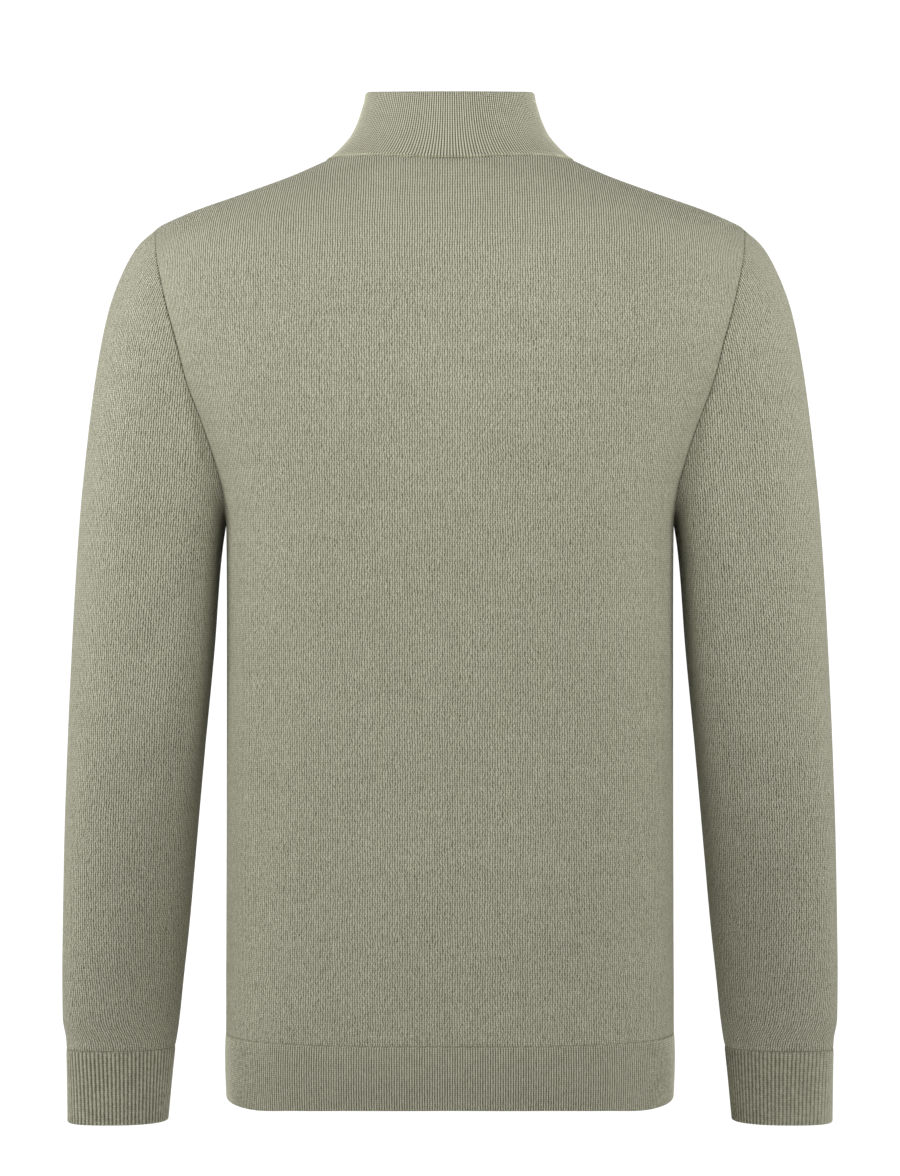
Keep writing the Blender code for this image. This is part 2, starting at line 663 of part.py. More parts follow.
def bail(name):
    """The arch on the slider that holds the pull's pin: an outline in the YZ plane, given a width."""
    made = bmesh.new()
    inside = PIN_RADIUS + BAIL_CLEARANCE
    outside = inside + BAIL_BAR
    pin = Vector((0, -SLIDER_PROUD - PIN_HEIGHT))
    arc = [math.radians(a) for a in range(0, 181, BAIL_STEP_DEGREES)]
    outer = [(pin.y - outside * math.sin(a), outside * BAIL_STRETCH * math.cos(a)) for a in arc]
    inner = [(pin.y - inside * math.sin(a), inside * BAIL_STRETCH * math.cos(a)) for a in arc]
    foot_y = -SLIDER_PROUD + BAIL_SUNK
    outer = [(foot_y, outer[0][1] + BAIL_FOOT)] + outer + [(foot_y, outer[-1][1] - BAIL_FOOT)]
    inner = [(foot_y, inner[0][1])] + inner + [(foot_y, inner[-1][1])]
    sides = []
    for x in (-BAIL_HALF_WIDTH, BAIL_HALF_WIDTH):
        outside_line = [made.verts.new(Vector((x, y, z)) * MM) for y, z in outer]
        inside_line = [made.verts.new(Vector((x, y, z)) * MM) for y, z in inner]
        sides.append((outside_line, inside_line))
    count = len(outer)
    for o, n in sides:
        for i in range(count - 1):
            made.faces.new((o[i], o[i + 1], n[i + 1], n[i]))
    (o1, n1), (o2, n2) = sides
    for i in range(count - 1):
        made.faces.new((o1[i], o1[i + 1], o2[i + 1], o2[i]))
        made.faces.new((n1[i], n1[i + 1], n2[i + 1], n2[i]))
    for i in (0, count - 1):
        made.faces.new((o1[i], n1[i], n2[i], o2[i]))
    bmesh.ops.recalc_face_normals(made, faces=made.faces[:])
    return place(name, made)


def pull(name):
    """The pull tab, hanging from its pin: a pin between two legs, and a plate with a hole near its end."""
    made = bmesh.new()
    leg_in = BAIL_HALF_WIDTH + BAIL_CLEARANCE
    half = PULL_THICKNESS / 2
    outer = [
        (leg_in, LEG_ABOVE),
        (leg_in + LEG_WIDTH, LEG_ABOVE),
        (PULL_HALF_WIDTH, -PULL_PLATE_BELOW - PULL_SHOULDER),
        (PULL_HALF_WIDTH, -PULL_LENGTH + PULL_END_LENGTH),
        (PULL_HALF_WIDTH * PULL_END_SHARE, -PULL_LENGTH),
    ]
    outline = outer + [(-x, z) for x, z in reversed(outer)]
    outline += [(-leg_in, -PULL_PLATE_BELOW), (leg_in, -PULL_PLATE_BELOW)]
    hole_outline = [
        (-HOLE_HALF_WIDTH, HOLE_TOP - PULL_LENGTH),
        (HOLE_HALF_WIDTH, HOLE_TOP - PULL_LENGTH),
        (HOLE_HALF_WIDTH, HOLE_BOTTOM - PULL_LENGTH),
        (-HOLE_HALF_WIDTH, HOLE_BOTTOM - PULL_LENGTH),
    ]
    faces = []
    for y in (-half, half):
        points = [made.verts.new(Vector((x, y, z)) * MM) for x, z in outline]
        faces.append((points, [made.verts.new(Vector((x, y, z)) * MM) for x, z in hole_outline]))
    for points, hole in faces:
        edges = [made.edges.new((a, b)) for a, b in zip(points, points[1:] + points[:1])]
        edges += [made.edges.new((a, b)) for a, b in zip(hole, hole[1:] + hole[:1])]
        bmesh.ops.triangle_fill(made, use_beauty=True, use_dissolve=False, edges=edges)
    (p1, h1), (p2, h2) = faces
    for a, b in ((p1, p2), (h1, h2)):
        for i in range(len(a)):
            j = (i + 1) % len(a)
            made.faces.new((a[i], a[j], b[j], b[i]))
    bmesh.ops.recalc_face_normals(made, faces=made.faces[:])
    plate = place(name, made)
    pin = bmesh.new()
    turn = Matrix.Rotation(math.pi / 2, 4, "Y")
    bmesh.ops.create_cone(
        pin,
        cap_ends=True,
        segments=12,
        radius1=PIN_RADIUS * MM,
        radius2=PIN_RADIUS * MM,
        depth=2 * (leg_in + PIN_IN_LEG) * MM,
        matrix=turn,
    )
    union(plate, [place(name + "_pin", pin)])
    return plate


def build_zip(skin, pieces):
    """The zip's tapes, chain, stops, slider and pull, laid along the front's middle."""
    levels = zip_levels(skin, {name: rows for name, rows, _, _ in pieces})
    whole = opening_length(levels)

    def tape_top(level):
        return level.cloth + TAPE_GAP

    def chain_top(level):
        return level.cloth - CHAIN_THICKNESS

    breaks = [0.0]
    for a, b in zip(levels[1:], levels[2:]):
        breaks.append(breaks[-1] + (b.edge - a.edge).length)
    for side, name in ((1, "zip_tape_left"), (-1, "zip_tape_right")):
        xs = [TAPE_HALF_GAP, ZIP_HALF_GAP, TAPE_HALF_WIDTH]
        distances = [-TAPE_BELOW] + breaks[:-1] + [whole - TAPE_SHORT]
        tape = strip(name, levels, distances, xs, tape_top, TAPE_THICKNESS, side)
        add_material(tape, "zip_tape", (0.20, 0.19, 0.13), 0.85)
    slider_middle = whole - SLIDER_BELOW_TOP - SLIDER_LENGTH / 2
    stop_end = BOTTOM_STOP_AT + STOP_LENGTH
    start = stop_end + TEETH_ABOVE_STOP
    end = slider_middle - SLIDER_LENGTH / 2 - SLIDER_CLEARANCE
    xs = [-CHAIN_HALF_WIDTH, CHAIN_HALF_WIDTH]
    distances = [start] + [at for at in breaks if start < at < end] + [end]
    chain = strip("zip_chain", levels, distances, xs, chain_top, CHAIN_THICKNESS)
    add_material(chain, "zip_teeth", (0.17, 0.16, 0.12), 0.45)
    half_width = CHAIN_HALF_WIDTH + STOP_WIDER
    distances = [BOTTOM_STOP_AT, stop_end]
    xs = [-half_width, half_width]
    stop = strip("zip_bottom_stop", levels, distances, xs, chain_top, CHAIN_THICKNESS)
    add_material(stop, "zip_metal", METAL, 0.35, 1.0)
    for side, name in ((1, "zip_top_stop_left"), (-1, "zip_top_stop_right")):
        xs = [TOP_STOP_HALF_GAP, CHAIN_HALF_WIDTH]
        distances = [whole - below for below in TOP_STOP_BELOW]
        top_stop = strip(name, levels, distances, xs, chain_top, CHAIN_THICKNESS, side)
        add_material(top_stop, "zip_metal", METAL, 0.35, 1.0)

    level, up = level_at(levels, slider_middle)
    at = Vector((0, level.edge.y, level.edge.z))
    lean = math.atan2(-up.y, up.z)
    place_slider = Matrix.Translation(at * MM) @ Matrix.Rotation(lean, 4, "X")
    slider = slider_plate("zip_slider")
    slider.matrix_world = place_slider
    arch = bail("zip_bail")
    arch.matrix_world = place_slider
    union(slider, [arch])
    add_material(slider, "zip_metal", METAL, 0.35, 1.0)
    tab = pull("zip_pull")
    pin_at = place_slider @ (Vector((0, -SLIDER_PROUD - PIN_HEIGHT, 0)) * MM)
    hinge = bpy.data.objects.new("pull_hinge", None)
    bpy.context.scene.collection.objects.link(hinge)
    hang = lean - math.radians(PULL_LEAN)
    hinge.matrix_world = Matrix.Translation(pin_at) @ Matrix.Rotation(hang, 4, "X")
    bpy.context.view_layer.update()
    tab.parent = hinge
    bpy.data.objects["zip_pull_pin"].parent = hinge
    add_material(tab, "zip_metal", METAL, 0.35, 1.0)
    print("pull hinge at", [round(c, 5) for c in pin_at], "lean", round(math.degrees(lean), 2))
    print("zip length", round(whole, 1), "mm, bottom at", [round(c, 1) for c in levels[1].edge])


def main():
    """Builds every piece."""
    for obj in list(bpy.data.objects):
        bpy.data.objects.remove(obj)
    pieces = cloth_pieces()
    skin, piece_of = joined_skin(pieces)
    for index, (name, _, _, thickness) in enumerate(pieces):
        wall = piece_wall(skin, piece_of, index, name, thickness)
        ribbed = name.startswith(("cuff", "hem", "collar"))
        add_material(wall, "rib_knit" if ribbed else "fine_knit", (0.32, 0.32, 0.23), 0.9)
    build_zip(skin, pieces)
    skin.free()


main()
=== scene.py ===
# %% [markdown]
# # A quarter zip sweater in fine knit
# The CAD model holds the sweater's cut pieces as plain walls. This lesson gives them their looks:
# a smooth surface with soft creases, real ribs on the collar, cuffs and hem band, linked seams,
# and a zip with woven tapes, moulded teeth and a metal slider. The CAD model is loaded first and
# stays as it is, so every new piece is worked out in its frame: +Z up, the front facing -Y, the
# wearer's left at +X, and the origin between the shoulders' highest points.

import copy
import json
import math

import bmesh
import bpy
import numpy as np
from mathutils import Matrix, Vector


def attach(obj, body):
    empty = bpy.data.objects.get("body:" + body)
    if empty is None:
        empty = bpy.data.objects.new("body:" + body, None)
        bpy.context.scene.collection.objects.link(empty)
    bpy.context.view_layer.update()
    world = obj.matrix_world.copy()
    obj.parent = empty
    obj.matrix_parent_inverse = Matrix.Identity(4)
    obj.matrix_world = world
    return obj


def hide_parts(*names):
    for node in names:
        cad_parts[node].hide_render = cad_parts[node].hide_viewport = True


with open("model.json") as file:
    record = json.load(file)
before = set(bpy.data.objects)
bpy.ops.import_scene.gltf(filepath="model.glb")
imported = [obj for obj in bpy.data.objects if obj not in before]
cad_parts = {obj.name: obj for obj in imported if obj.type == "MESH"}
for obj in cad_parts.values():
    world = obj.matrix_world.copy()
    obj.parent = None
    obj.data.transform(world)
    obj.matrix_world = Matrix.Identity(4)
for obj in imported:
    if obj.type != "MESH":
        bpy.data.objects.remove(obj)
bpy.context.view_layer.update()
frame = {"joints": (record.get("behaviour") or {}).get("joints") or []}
MM = 0.001
BACK, FRONT = 1, -1

# %% [markdown]
# ## Camera, floor and light
# The sweater is seen from straight behind, level with its middle, through a long lens, so that
# its outline hardly changes with depth. Soft light comes from large panels: a high one behind the
# sweater and one in front, and two beside each sleeve, which make the outer lines of the sleeves
# glow while the sides that face the body fall into shade. The world is white to the camera and
# much dimmer as a light, most of all from above, so that the shading stays visible. The floor is
# a disc of paper that fades to the same white towards its rim.

# %% Camera
VIEW_DISTANCE = 2.5
VIEW_HEIGHT = -0.3145
SEEN_HEIGHT = 0.870
SENSOR = 36.0

camera = bpy.data.objects.new("camera", bpy.data.cameras.new("camera"))
bpy.context.scene.collection.objects.link(camera)
camera.data.sensor_width = SENSOR
camera.data.lens = SENSOR * VIEW_DISTANCE / SEEN_HEIGHT
camera.location = (0, VIEW_DISTANCE, VIEW_HEIGHT)
camera.rotation_euler = (math.radians(90), 0, math.radians(180))
bpy.context.scene.camera = camera
bpy.context.scene.view_settings.view_transform = "Standard"
print("lens", round(camera.data.lens, 1), "mm")

# %% [markdown]
# ### Light panels
# Every panel faces the sweater's middle. The left sleeve gets a little more light than the right.

# %% Light panels
MIDDLE = Vector((0, 0, -0.33))


def light_panel(name, place, size, power):
    """A soft rectangular light that faces the sweater's middle and stays out of the picture."""
    lamp = bpy.data.lights.new(name, "AREA")
    lamp.shape = "RECTANGLE"
    lamp.size, lamp.size_y = size
    lamp.energy = power
    obj = bpy.data.objects.new(name, lamp)
    bpy.context.scene.collection.objects.link(obj)
    obj.location = place
    obj.rotation_euler = (MIDDLE - Vector(place)).to_track_quat("-Z", "Y").to_euler()
    obj.visible_camera = False


light_panel("key_back", (0.0, 0.8, 0.1), (1.4, 0.3), 5.0)
light_panel("key_front", (0.0, -0.9, 0.2), (1.4, 0.3), 5.0)
light_panel("side_left", (1.2, 0.35, 0.15), (0.5, 0.9), 8.6)
light_panel("side_right", (-1.2, 0.35, 0.15), (0.5, 0.9), 6.6)
light_panel("side_left_front", (1.3, -0.5, 0.1), (0.6, 1.0), 5.0)
light_panel("side_right_front", (-1.3, -0.5, 0.1), (0.6, 1.0), 4.0)
print(len(bpy.data.lights), "light panels")

# %% [markdown]
# ### Floor
# The paper glows towards its rim, for the camera only, so that its edge can't be seen.

# %% Floor
FLOOR_Z = -1.0
FLOOR_RADIUS = 1.4

bpy.ops.object.select_all(action="DESELECT")
bpy.ops.mesh.primitive_circle_add(
    vertices=96, radius=FLOOR_RADIUS, fill_type="NGON", location=(0, 0, FLOOR_Z)
)
floor = bpy.context.object
floor.name = "floor"
floor.data.transform(floor.matrix_world)
floor.matrix_world = Matrix.Identity(4)
paper = bpy.data.materials.new("paper_white")
paper.use_nodes = True
page = paper.node_tree
sheet = page.nodes["Principled BSDF"]
sheet.inputs["Base Color"].default_value = (0.9, 0.9, 0.9, 1)
sheet.inputs["Roughness"].default_value = 0.9
sheet.inputs["Emission Color"].default_value = (1, 1, 1, 1)
middle_way = page.nodes.new("ShaderNodeVectorMath")
middle_way.operation = "DISTANCE"
middle_way.inputs[1].default_value = (0, 0, FLOOR_Z)
page.links.new(page.nodes.new("ShaderNodeTexCoord").outputs["Object"], middle_way.inputs[0])
fade = page.nodes.new("ShaderNodeMapRange")
fade.inputs["From Min"].default_value = 0.15 * FLOOR_RADIUS
fade.inputs["From Max"].default_value = 0.85 * FLOOR_RADIUS
page.links.new(middle_way.outputs["Value"], fade.inputs["Value"])
looked_at = page.nodes.new("ShaderNodeMath")
looked_at.operation = "MULTIPLY"
page.links.new(fade.outputs["Result"], looked_at.inputs[0])
page.links.new(page.nodes.new("ShaderNodeLightPath").outputs["Is Camera Ray"], looked_at.inputs[1])
page.links.new(looked_at.outputs[0], sheet.inputs["Emission Strength"])
floor.data.materials.append(paper)
print("floor at", FLOOR_Z, "m")

# %% [markdown]
# ### World
# The camera sees plain white. As a light, the world is dim, and dimmer above than below.

# %% World
WORLD_LIGHT = 0.34
world = bpy.context.scene.world or bpy.data.worlds.new("world")
bpy.context.scene.world = world
world.use_nodes = True
sky = world.node_tree
seen = sky.nodes.new("ShaderNodeLightPath")
strength = sky.nodes.new("ShaderNodeMapRange")
way = sky.nodes.new("ShaderNodeSeparateXYZ")
sky.links.new(sky.nodes.new("ShaderNodeTexCoord").outputs["Generated"], way.inputs[0])
darker_above = sky.nodes.new("ShaderNodeMapRange")
darker_above.inputs["From Min"].default_value = -0.4
darker_above.inputs["From Max"].default_value = 0.9
darker_above.inputs["To Min"].default_value = 1.15 * WORLD_LIGHT
darker_above.inputs["To Max"].default_value = 0.5 * WORLD_LIGHT
sky.links.new(way.outputs["Z"], darker_above.inputs["Value"])
sky.links.new(darker_above.outputs["Result"], strength.inputs["To Min"])
strength.inputs["To Max"].default_value = 1.1
sky.links.new(seen.outputs["Is Camera Ray"], strength.inputs["Value"])
sky.nodes["Background"].inputs["Color"].default_value = (1, 1, 1, 1)
sky.links.new(strength.outputs["Result"], sky.nodes["Background"].inputs["Strength"])
print("world light", WORLD_LIGHT)

# %% [markdown]
# ## The form of the sweater
# The outside surface is made as the CAD model's is: horizontal sections for the body, slanting
# rings for the sleeves and cuffs, and a flaring wall for the collar. The body sections and the
# inner halves of the sleeve rings are squarer than the CAD's, so that the cloth hangs flatter
# beside the armpits, and this moves the surface there by up to about 12 mm. The shoulders slope
# a little more, by up to 4 mm. The tables are in millimetres, and NumPy reads them for whole
# grids at once, so that the surface can be many times finer than the CAD's faces. `read_table`
# draws a smooth line through a table's rows that never overshoots where the table turns.

# %% Sizes and tables
BAND_TOP_Z = -640.0
ARMPIT_Z = -262.0
SHOULDER_TIP_Z = -48.0
CUFF_TOP_Z = -659.5
CUFF_BOTTOM_Z = -716.0
CLOTH = 2.0
COLLAR_CLOTH = 3.2
NECK_HALF_WIDTH = 92.0
NECK_BACK_DEPTH = 75.0
NECK_FRONT_DEPTH = 88.0
ZIP_HALF_GAP = 5.0
ARMHOLE_BACK = 62.0
ARMHOLE_FRONT = 70.0
ARMPIT_FULLNESS = 0.6  # below 1, the armhole is squarer than an ellipse towards the armpit

# z, half width, back depth, front depth, squareness
BODY_SECTIONS = np.array(
    [
        (12, 66.0, 58.0, 48.0, 2.10),
        (0, 92.0, 70.0, 60.0, 2.10),
        (-12, 119.0, 80.0, 70.0, 2.12),
        (-25, 154.5, 87.5, 79.0, 2.15),
        (-42, 200.8, 95.5, 88.0, 2.20),
        (-52, 218.0, 100.0, 94.0, 2.28),
        (-75, 222.0, 107.5, 105.5, 2.50),
        (-105, 218.6, 113.8, 116.5, 2.70),
        (-135, 211.2, 117.3, 123.0, 2.80),
        (-164, 202.7, 118.5, 127.0, 2.85),
        (-193, 189.6, 118.1, 129.0, 2.90),
        (-221, 177.4, 116.9, 129.0, 2.95),
        (-248, 168.0, 115.0, 127.5, 2.95),
        (-270, 164.5, 113.3, 126.0, 2.95),
        (-330, 164.2, 108.0, 120.5, 2.90),
        (-400, 164.3, 103.5, 115.5, 2.85),
        (-480, 164.4, 101.5, 112.0, 2.85),
        (-560, 164.6, 103.0, 109.5, 2.90),
        (-640, 164.7, 104.0, 108.0, 3.00),
        (-666, 164.6, 102.5, 106.5, 3.05),
        (-692, 164.3, 98.5, 103.0, 3.05),
    ]
)
# turn from the middle (0) to the side (1), and z of the hem's edge there
HEM_EDGE = np.array(
    [(0, -686.4), (0.25, -686.8), (0.41, -688.1), (0.55, -690.0), (0.7, -688.9), (0.85, -687.4), (1, -686.8)]
)
# outer x, outer z, inner x, inner z, half depth, middle y, squareness of the inner half, outward lean
SLEEVE_RINGS = [
    (229.5, -60.0, 166.6, -266.5, 65.8, -4.0, 3.3, 0.0),
    (241.5, -80.0, 167.6, -272.0, 64.8, -4.0, 3.6, 0.0),
    (252.6, -110.0, 169.0, -281.0, 63.0, -4.0, 3.7, 0.0),
    (261.6, -156.0, 171.0, -300.0, 60.0, -3.5, 3.7, 0.0),
    (268.5, -210.0, 172.8, -324.0, 57.5, -3.0, 3.8, 0.0),
    (273.7, -262.0, 174.8, -353.0, 56.0, -3.5, 3.8, 0.0),
    (277.7, -318.0, 177.9, -388.0, 54.5, -5.5, 3.7, 1.0),
    (281.1, -376.0, 181.6, -427.0, 53.0, -9.5, 3.4, 4.0),
    (284.3, -437.0, 185.7, -470.0, 51.0, -15.5, 2.9, 8.0),
    (287.0, -498.0, 190.2, -517.0, 49.0, -23.0, 2.4, 12.0),
    (288.9, -558.0, 195.1, -566.0, 46.5, -31.5, 2.1, 14.0),
    (290.3, -608.0, 200.1, -608.0, 43.5, -39.0, 2.0, 14.0),
    (290.7, -637.0, 203.5, -638.0, 40.5, -43.5, 1.9, 12.0),
    (288.8, -651.0, 205.6, -652.0, 37.0, -45.5, 2.0, 10.0),
]
CUFF_RINGS = [
    (287.3, CUFF_TOP_Z, 207.1, CUFF_TOP_Z, 34.5, -46.5, 2.2, 9.0),
    (287.6, -684.0, 209.9, -684.0, 33.0, -50.0, 2.3, 7.0),
    (287.9, CUFF_BOTTOM_Z, 213.2, CUFF_BOTTOM_Z, 32.5, -54.0, 2.5, 5.0),
]
SLEEVE_SQUARENESS = 2.1
CUFF_SQUARENESS = 2.6
# rise from the neck seam (0) to the top edge (1), and how much of the flare is left there
COLLAR_STEPS = np.array(
    [(0, 1), (0.10, 0.80), (0.20, 0.62), (0.36, 0.385), (0.54, 0.22), (0.76, 0.09), (0.92, 0.015), (1, 0)]
)
COLLAR_TOP_HALF_WIDTH = 62.7
COLLAR_TOP_BACK = 60.0
COLLAR_TOP_FRONT = 64.0
COLLAR_TOP_Z_SIDE = 49.0
COLLAR_TOP_Z_SIDE_BACK = 52.5
COLLAR_TOP_Z_BACK = 44.5
COLLAR_TOP_Z_FRONT = 17.0
COLLAR_STRAIGHT_AT_FRONT = 0.6


def read_table(xs, ys, x):
    """Smooth values at x between a table's rows. ys may hold several columns."""
    xs, ys, x = (np.asarray(a, float) for a in (xs, ys, x))
    if xs[0] > xs[-1]:
        xs, ys = xs[::-1], ys[::-1]
    shape = (-1,) + (1,) * (ys.ndim - 1)
    steps = np.diff(ys, axis=0) / np.diff(xs).reshape(shape)
    before, after = steps[:-1], steps[1:]
    same_way = before * after > 0
    inner = np.where(same_way, 2 * before * after / np.where(same_way, before + after, 1), 0)
    slopes = np.concatenate([steps[:1], inner, steps[-1:]])
    x = np.clip(x, xs[0], xs[-1])
    i = np.clip(np.searchsorted(xs, x, side="right") - 1, 0, len(xs) - 2)
    width = xs[i + 1] - xs[i]
    t = (x - xs[i]) / width
    if ys.ndim > 1:
        t, width = t[..., None], width[..., None]
    start = ys[i] * (1 + 2 * t) * (1 - t) ** 2 + slopes[i] * width * t * (1 - t) ** 2
    end = ys[i + 1] * t * t * (3 - 2 * t) - slopes[i + 1] * width * t * t * (1 - t)
    return start + end


print("tables:", len(BODY_SECTIONS), "body sections,", len(SLEEVE_RINGS), "sleeve rings")

# %% [markdown]
# ### Points on the form
# Each function takes arrays and returns points in millimetres. The body is one surface, and the
# neck seam and the armholes are curves on it: an ellipse seen from above, and one seen from the
# side. A sleeve starts at its armhole and follows smooth lines through its rings.

# %% Form functions


def section_at(z):
    """Half width, back depth, front depth and squareness at heights z."""
    values = read_table(BODY_SECTIONS[:, 0], BODY_SECTIONS[:, 1:], z)
    return [values[..., k] for k in range(4)]


def body_point(x, z, side):
    x, z = np.broadcast_arrays(np.asarray(x, float), np.asarray(z, float))
    half_width, back, front, power = section_at(z)
    share = np.clip(1 - np.minimum(1, np.abs(x) / half_width) ** power, 0, None)
    return np.stack([x, side * (back if side == BACK else front) * share ** (1 / power), z], axis=-1)


def ring_point(turn, z, side):
    """The body's points in the section at z, a quarter turn from the middle (0) to the side (1)."""
    turn, z = np.broadcast_arrays(np.asarray(turn, float), np.asarray(z, float))
    half_width, _, _, power = section_at(z)
    s, c = np.sin(turn * math.pi / 2), np.cos(turn * math.pi / 2)
    return body_point(half_width * s / (s**power + c**power) ** (1 / power), z, side)


def height_on_form(x, y, side):
    """The height at which the body's top surface passes through x and y, found by halving."""
    low, high = np.full(x.shape, -90.0), np.full(x.shape, 12.0)
    for _ in range(40):
        z = (low + high) / 2
        half_width, back, front, power = section_at(z)
        depth = back if side == BACK else front
        outside = (np.abs(x) / half_width) ** power + (np.abs(y) / depth) ** power > 1
        high = np.where(outside, z, high)
        low = np.where(outside, low, z)
    return (low + high) / 2


def neck_point(x, side):
    x = np.asarray(x, float)
    depth = NECK_BACK_DEPTH if side == BACK else NECK_FRONT_DEPTH
    y = side * depth * np.sqrt(np.clip(1 - (x / NECK_HALF_WIDTH) ** 2, 0, None))
    return np.stack([x, y, height_on_form(x, y, side)], axis=-1)


def armhole_point(turn, side):
    """Points of the armhole, from the armpit (0) to the shoulder's tip (1)."""
    angle = np.asarray(turn, float) * math.pi
    depth = ARMHOLE_BACK if side == BACK else ARMHOLE_FRONT
    z = (ARMPIT_Z + SHOULDER_TIP_Z) / 2 - np.cos(angle) * (SHOULDER_TIP_Z - ARMPIT_Z) / 2
    low = np.where(angle < math.pi / 2, ARMPIT_FULLNESS, 1.0)
    y = side * depth * np.sin(angle) ** low
    half_width, back, front, power = section_at(z)
    x = half_width * (1 - (np.abs(y) / (back if side == BACK else front)) ** power) ** (1 / power)
    return np.stack([x, y, z], axis=-1)


def ring_loop(ring, around, power):
    """A sleeve ring's points at turns around it: 0 is the outer line, and 0.5 the inner one."""
    outer, inner = np.array([ring[0], 0, ring[1]]), np.array([ring[2], 0, ring[3]])
    middle, half = (outer + inner) / 2 + [0, ring[5], 0], (outer - inner) / 2
    c, s = np.cos(2 * math.pi * around)[:, None], np.sin(2 * math.pi * around)[:, None]
    power = np.where(c < 0, ring[6], power)
    size = (np.abs(c) ** power + np.abs(s) ** power) ** (1 / power)
    lean = np.array([ring[7], 0, 0]) * (s / size) ** 2
    return middle + half * c / size + np.array([0, ring[4], 0]) * s / size + lean


def collar_top(x_share, side):
    c = np.sqrt(np.clip(1 - x_share**2, 0, None))
    if side == BACK:
        z = COLLAR_TOP_Z_SIDE_BACK + (COLLAR_TOP_Z_BACK - COLLAR_TOP_Z_SIDE_BACK) * c
        z = z - (COLLAR_TOP_Z_SIDE_BACK - COLLAR_TOP_Z_SIDE) * np.clip(1 - c / 0.3, 0, None) ** 2
        return np.stack([COLLAR_TOP_HALF_WIDTH * x_share, COLLAR_TOP_BACK * c, z], axis=-1)
    z = COLLAR_TOP_Z_SIDE + (COLLAR_TOP_Z_FRONT - COLLAR_TOP_Z_SIDE) * c**2
    return np.stack([COLLAR_TOP_HALF_WIDTH * x_share, -COLLAR_TOP_FRONT * c, z], axis=-1)


def collar_points(x, side, rise):
    """The collar's points above the neck seam's points at x, one row for each rise."""
    base = neck_point(x, side)
    share = x / NECK_HALF_WIDTH
    if side == FRONT:
        near_zip = x <= ZIP_HALF_GAP + 1e-6
        share = np.where(near_zip, x / COLLAR_TOP_HALF_WIDTH, share)
    top = collar_top(share, side)
    flare = read_table(COLLAR_STEPS[:, 0], COLLAR_STEPS[:, 1], rise)[:, None]
    if side == FRONT:
        straight = COLLAR_STRAIGHT_AT_FRONT * (1 - share**2)[None, :]
        flare = flare + (1 - rise[:, None] - flare) * straight
    flare = np.broadcast_to(flare, (len(rise), len(x)))[..., None]
    points = top + (base - top) * flare
    points[..., 2] = base[:, 2] + (top - base)[:, 2] * rise[:, None]
    return points


print("shoulder tip", armhole_point(np.array([1.0]), BACK).round(1), "mm")

# %% [markdown]
# ## From a grid of points to cloth
# Every cut piece is a grid: rows up the piece and columns across it. `Cloth` keeps the grid, its
# outward normals and each point's place on the flat cloth, in metres, with v along the knitted
# columns. The knit pattern is laid out on those flat coordinates, so it follows the cloth round
# the body. Near a seam the surface rolls in, and where two pieces roll
# towards each other the seam shows as a fine groove. At a free edge it rolls over in a half
# circle. The wall itself is the outer grid, an inner grid and the rim between them.

# %% Grid helpers


def spread(count, start=(), end=()):
    """Places from 0 to 1, even ones plus extra ones close to either end."""
    first, last = max(start, default=0), 1 - max(end, default=0)
    inner = [x for x in np.linspace(0, 1, count + 1) if first < x < last]
    return np.array([0.0, *start, *inner, *(1 - x for x in reversed(end)), 1.0])


def seam_steps(length, reach=(0.35, 0.8, 1.4, 2.2, 3.4, 5.0)):
    """The extra places near a seam, as shares of a length in millimetres."""
    return tuple(step / length for step in reach)


def normals_of(points, middle):
    """Each grid point's normal, turned away from the piece's middle line."""
    across, up = np.gradient(points, axis=1), np.gradient(points, axis=0)
    normal = np.cross(across, up)
    normal /= np.maximum(np.linalg.norm(normal, axis=-1, keepdims=True), 1e-12)
    outward = (normal * (points - middle)).sum(-1).mean()
    return normal * np.sign(outward)


def flat_places(points, normal, wale_way, centre):
    """Each point's place on the flat cloth: u across the knitted columns from the centre, v along them."""
    wale = wale_way - (wale_way * normal).sum(-1, keepdims=True) * normal
    wale /= np.linalg.norm(wale, axis=-1, keepdims=True)
    step = np.diff(points, axis=1)
    way = (wale[:, 1:] + wale[:, :-1]) / 2
    along = (step * way).sum(-1)
    aside = np.sqrt(np.clip((step**2).sum(-1) - along**2, 0, None))
    u = np.concatenate([np.zeros((len(points), 1)), np.cumsum(aside, axis=1)], axis=1)
    u -= u[:, centre][:, None]
    climb = np.diff(points[:, centre], axis=0)
    way = (wale[1:, centre] + wale[:-1, centre]) / 2
    v_centre = np.concatenate([[0], np.cumsum((climb * way).sum(-1))])
    slant = np.concatenate([np.zeros((len(points), 1)), np.cumsum(along, axis=1)], axis=1)
    return np.stack([u, v_centre[:, None] + slant - slant[:, centre][:, None]], axis=-1)


def edge_distances(points):
    """How far each point is from its grid's four edges, along the cloth."""
    up = np.linalg.norm(np.diff(points, axis=0), axis=-1)
    across = np.linalg.norm(np.diff(points, axis=1), axis=-1)
    zero_row, zero_column = np.zeros((1, points.shape[1])), np.zeros((points.shape[0], 1))
    return {
        "bottom": np.concatenate([zero_row, np.cumsum(up, axis=0)]),
        "top": np.concatenate([np.cumsum(up[::-1], axis=0)[::-1], zero_row]),
        "first": np.concatenate([zero_column, np.cumsum(across, axis=1)], axis=1),
        "last": np.concatenate([np.cumsum(across[:, ::-1], axis=1)[:, ::-1], zero_column], axis=1),
    }


def groove(distance, depth, width):
    """How far a seam's roll sinks the surface at a distance from the seam."""
    return depth * np.exp(-((distance / width) ** 1.6))


def half_round(distance, thickness):
    """How far each face of the wall turns in near a free edge, to close it with a half circle."""
    radius = 0.48 * thickness
    left = np.clip(radius - distance, 0, radius)
    return radius - np.sqrt(np.clip(radius**2 - left**2, 0, None))


print("places near a seam:", spread(10, seam_steps(100))[:7].round(4))

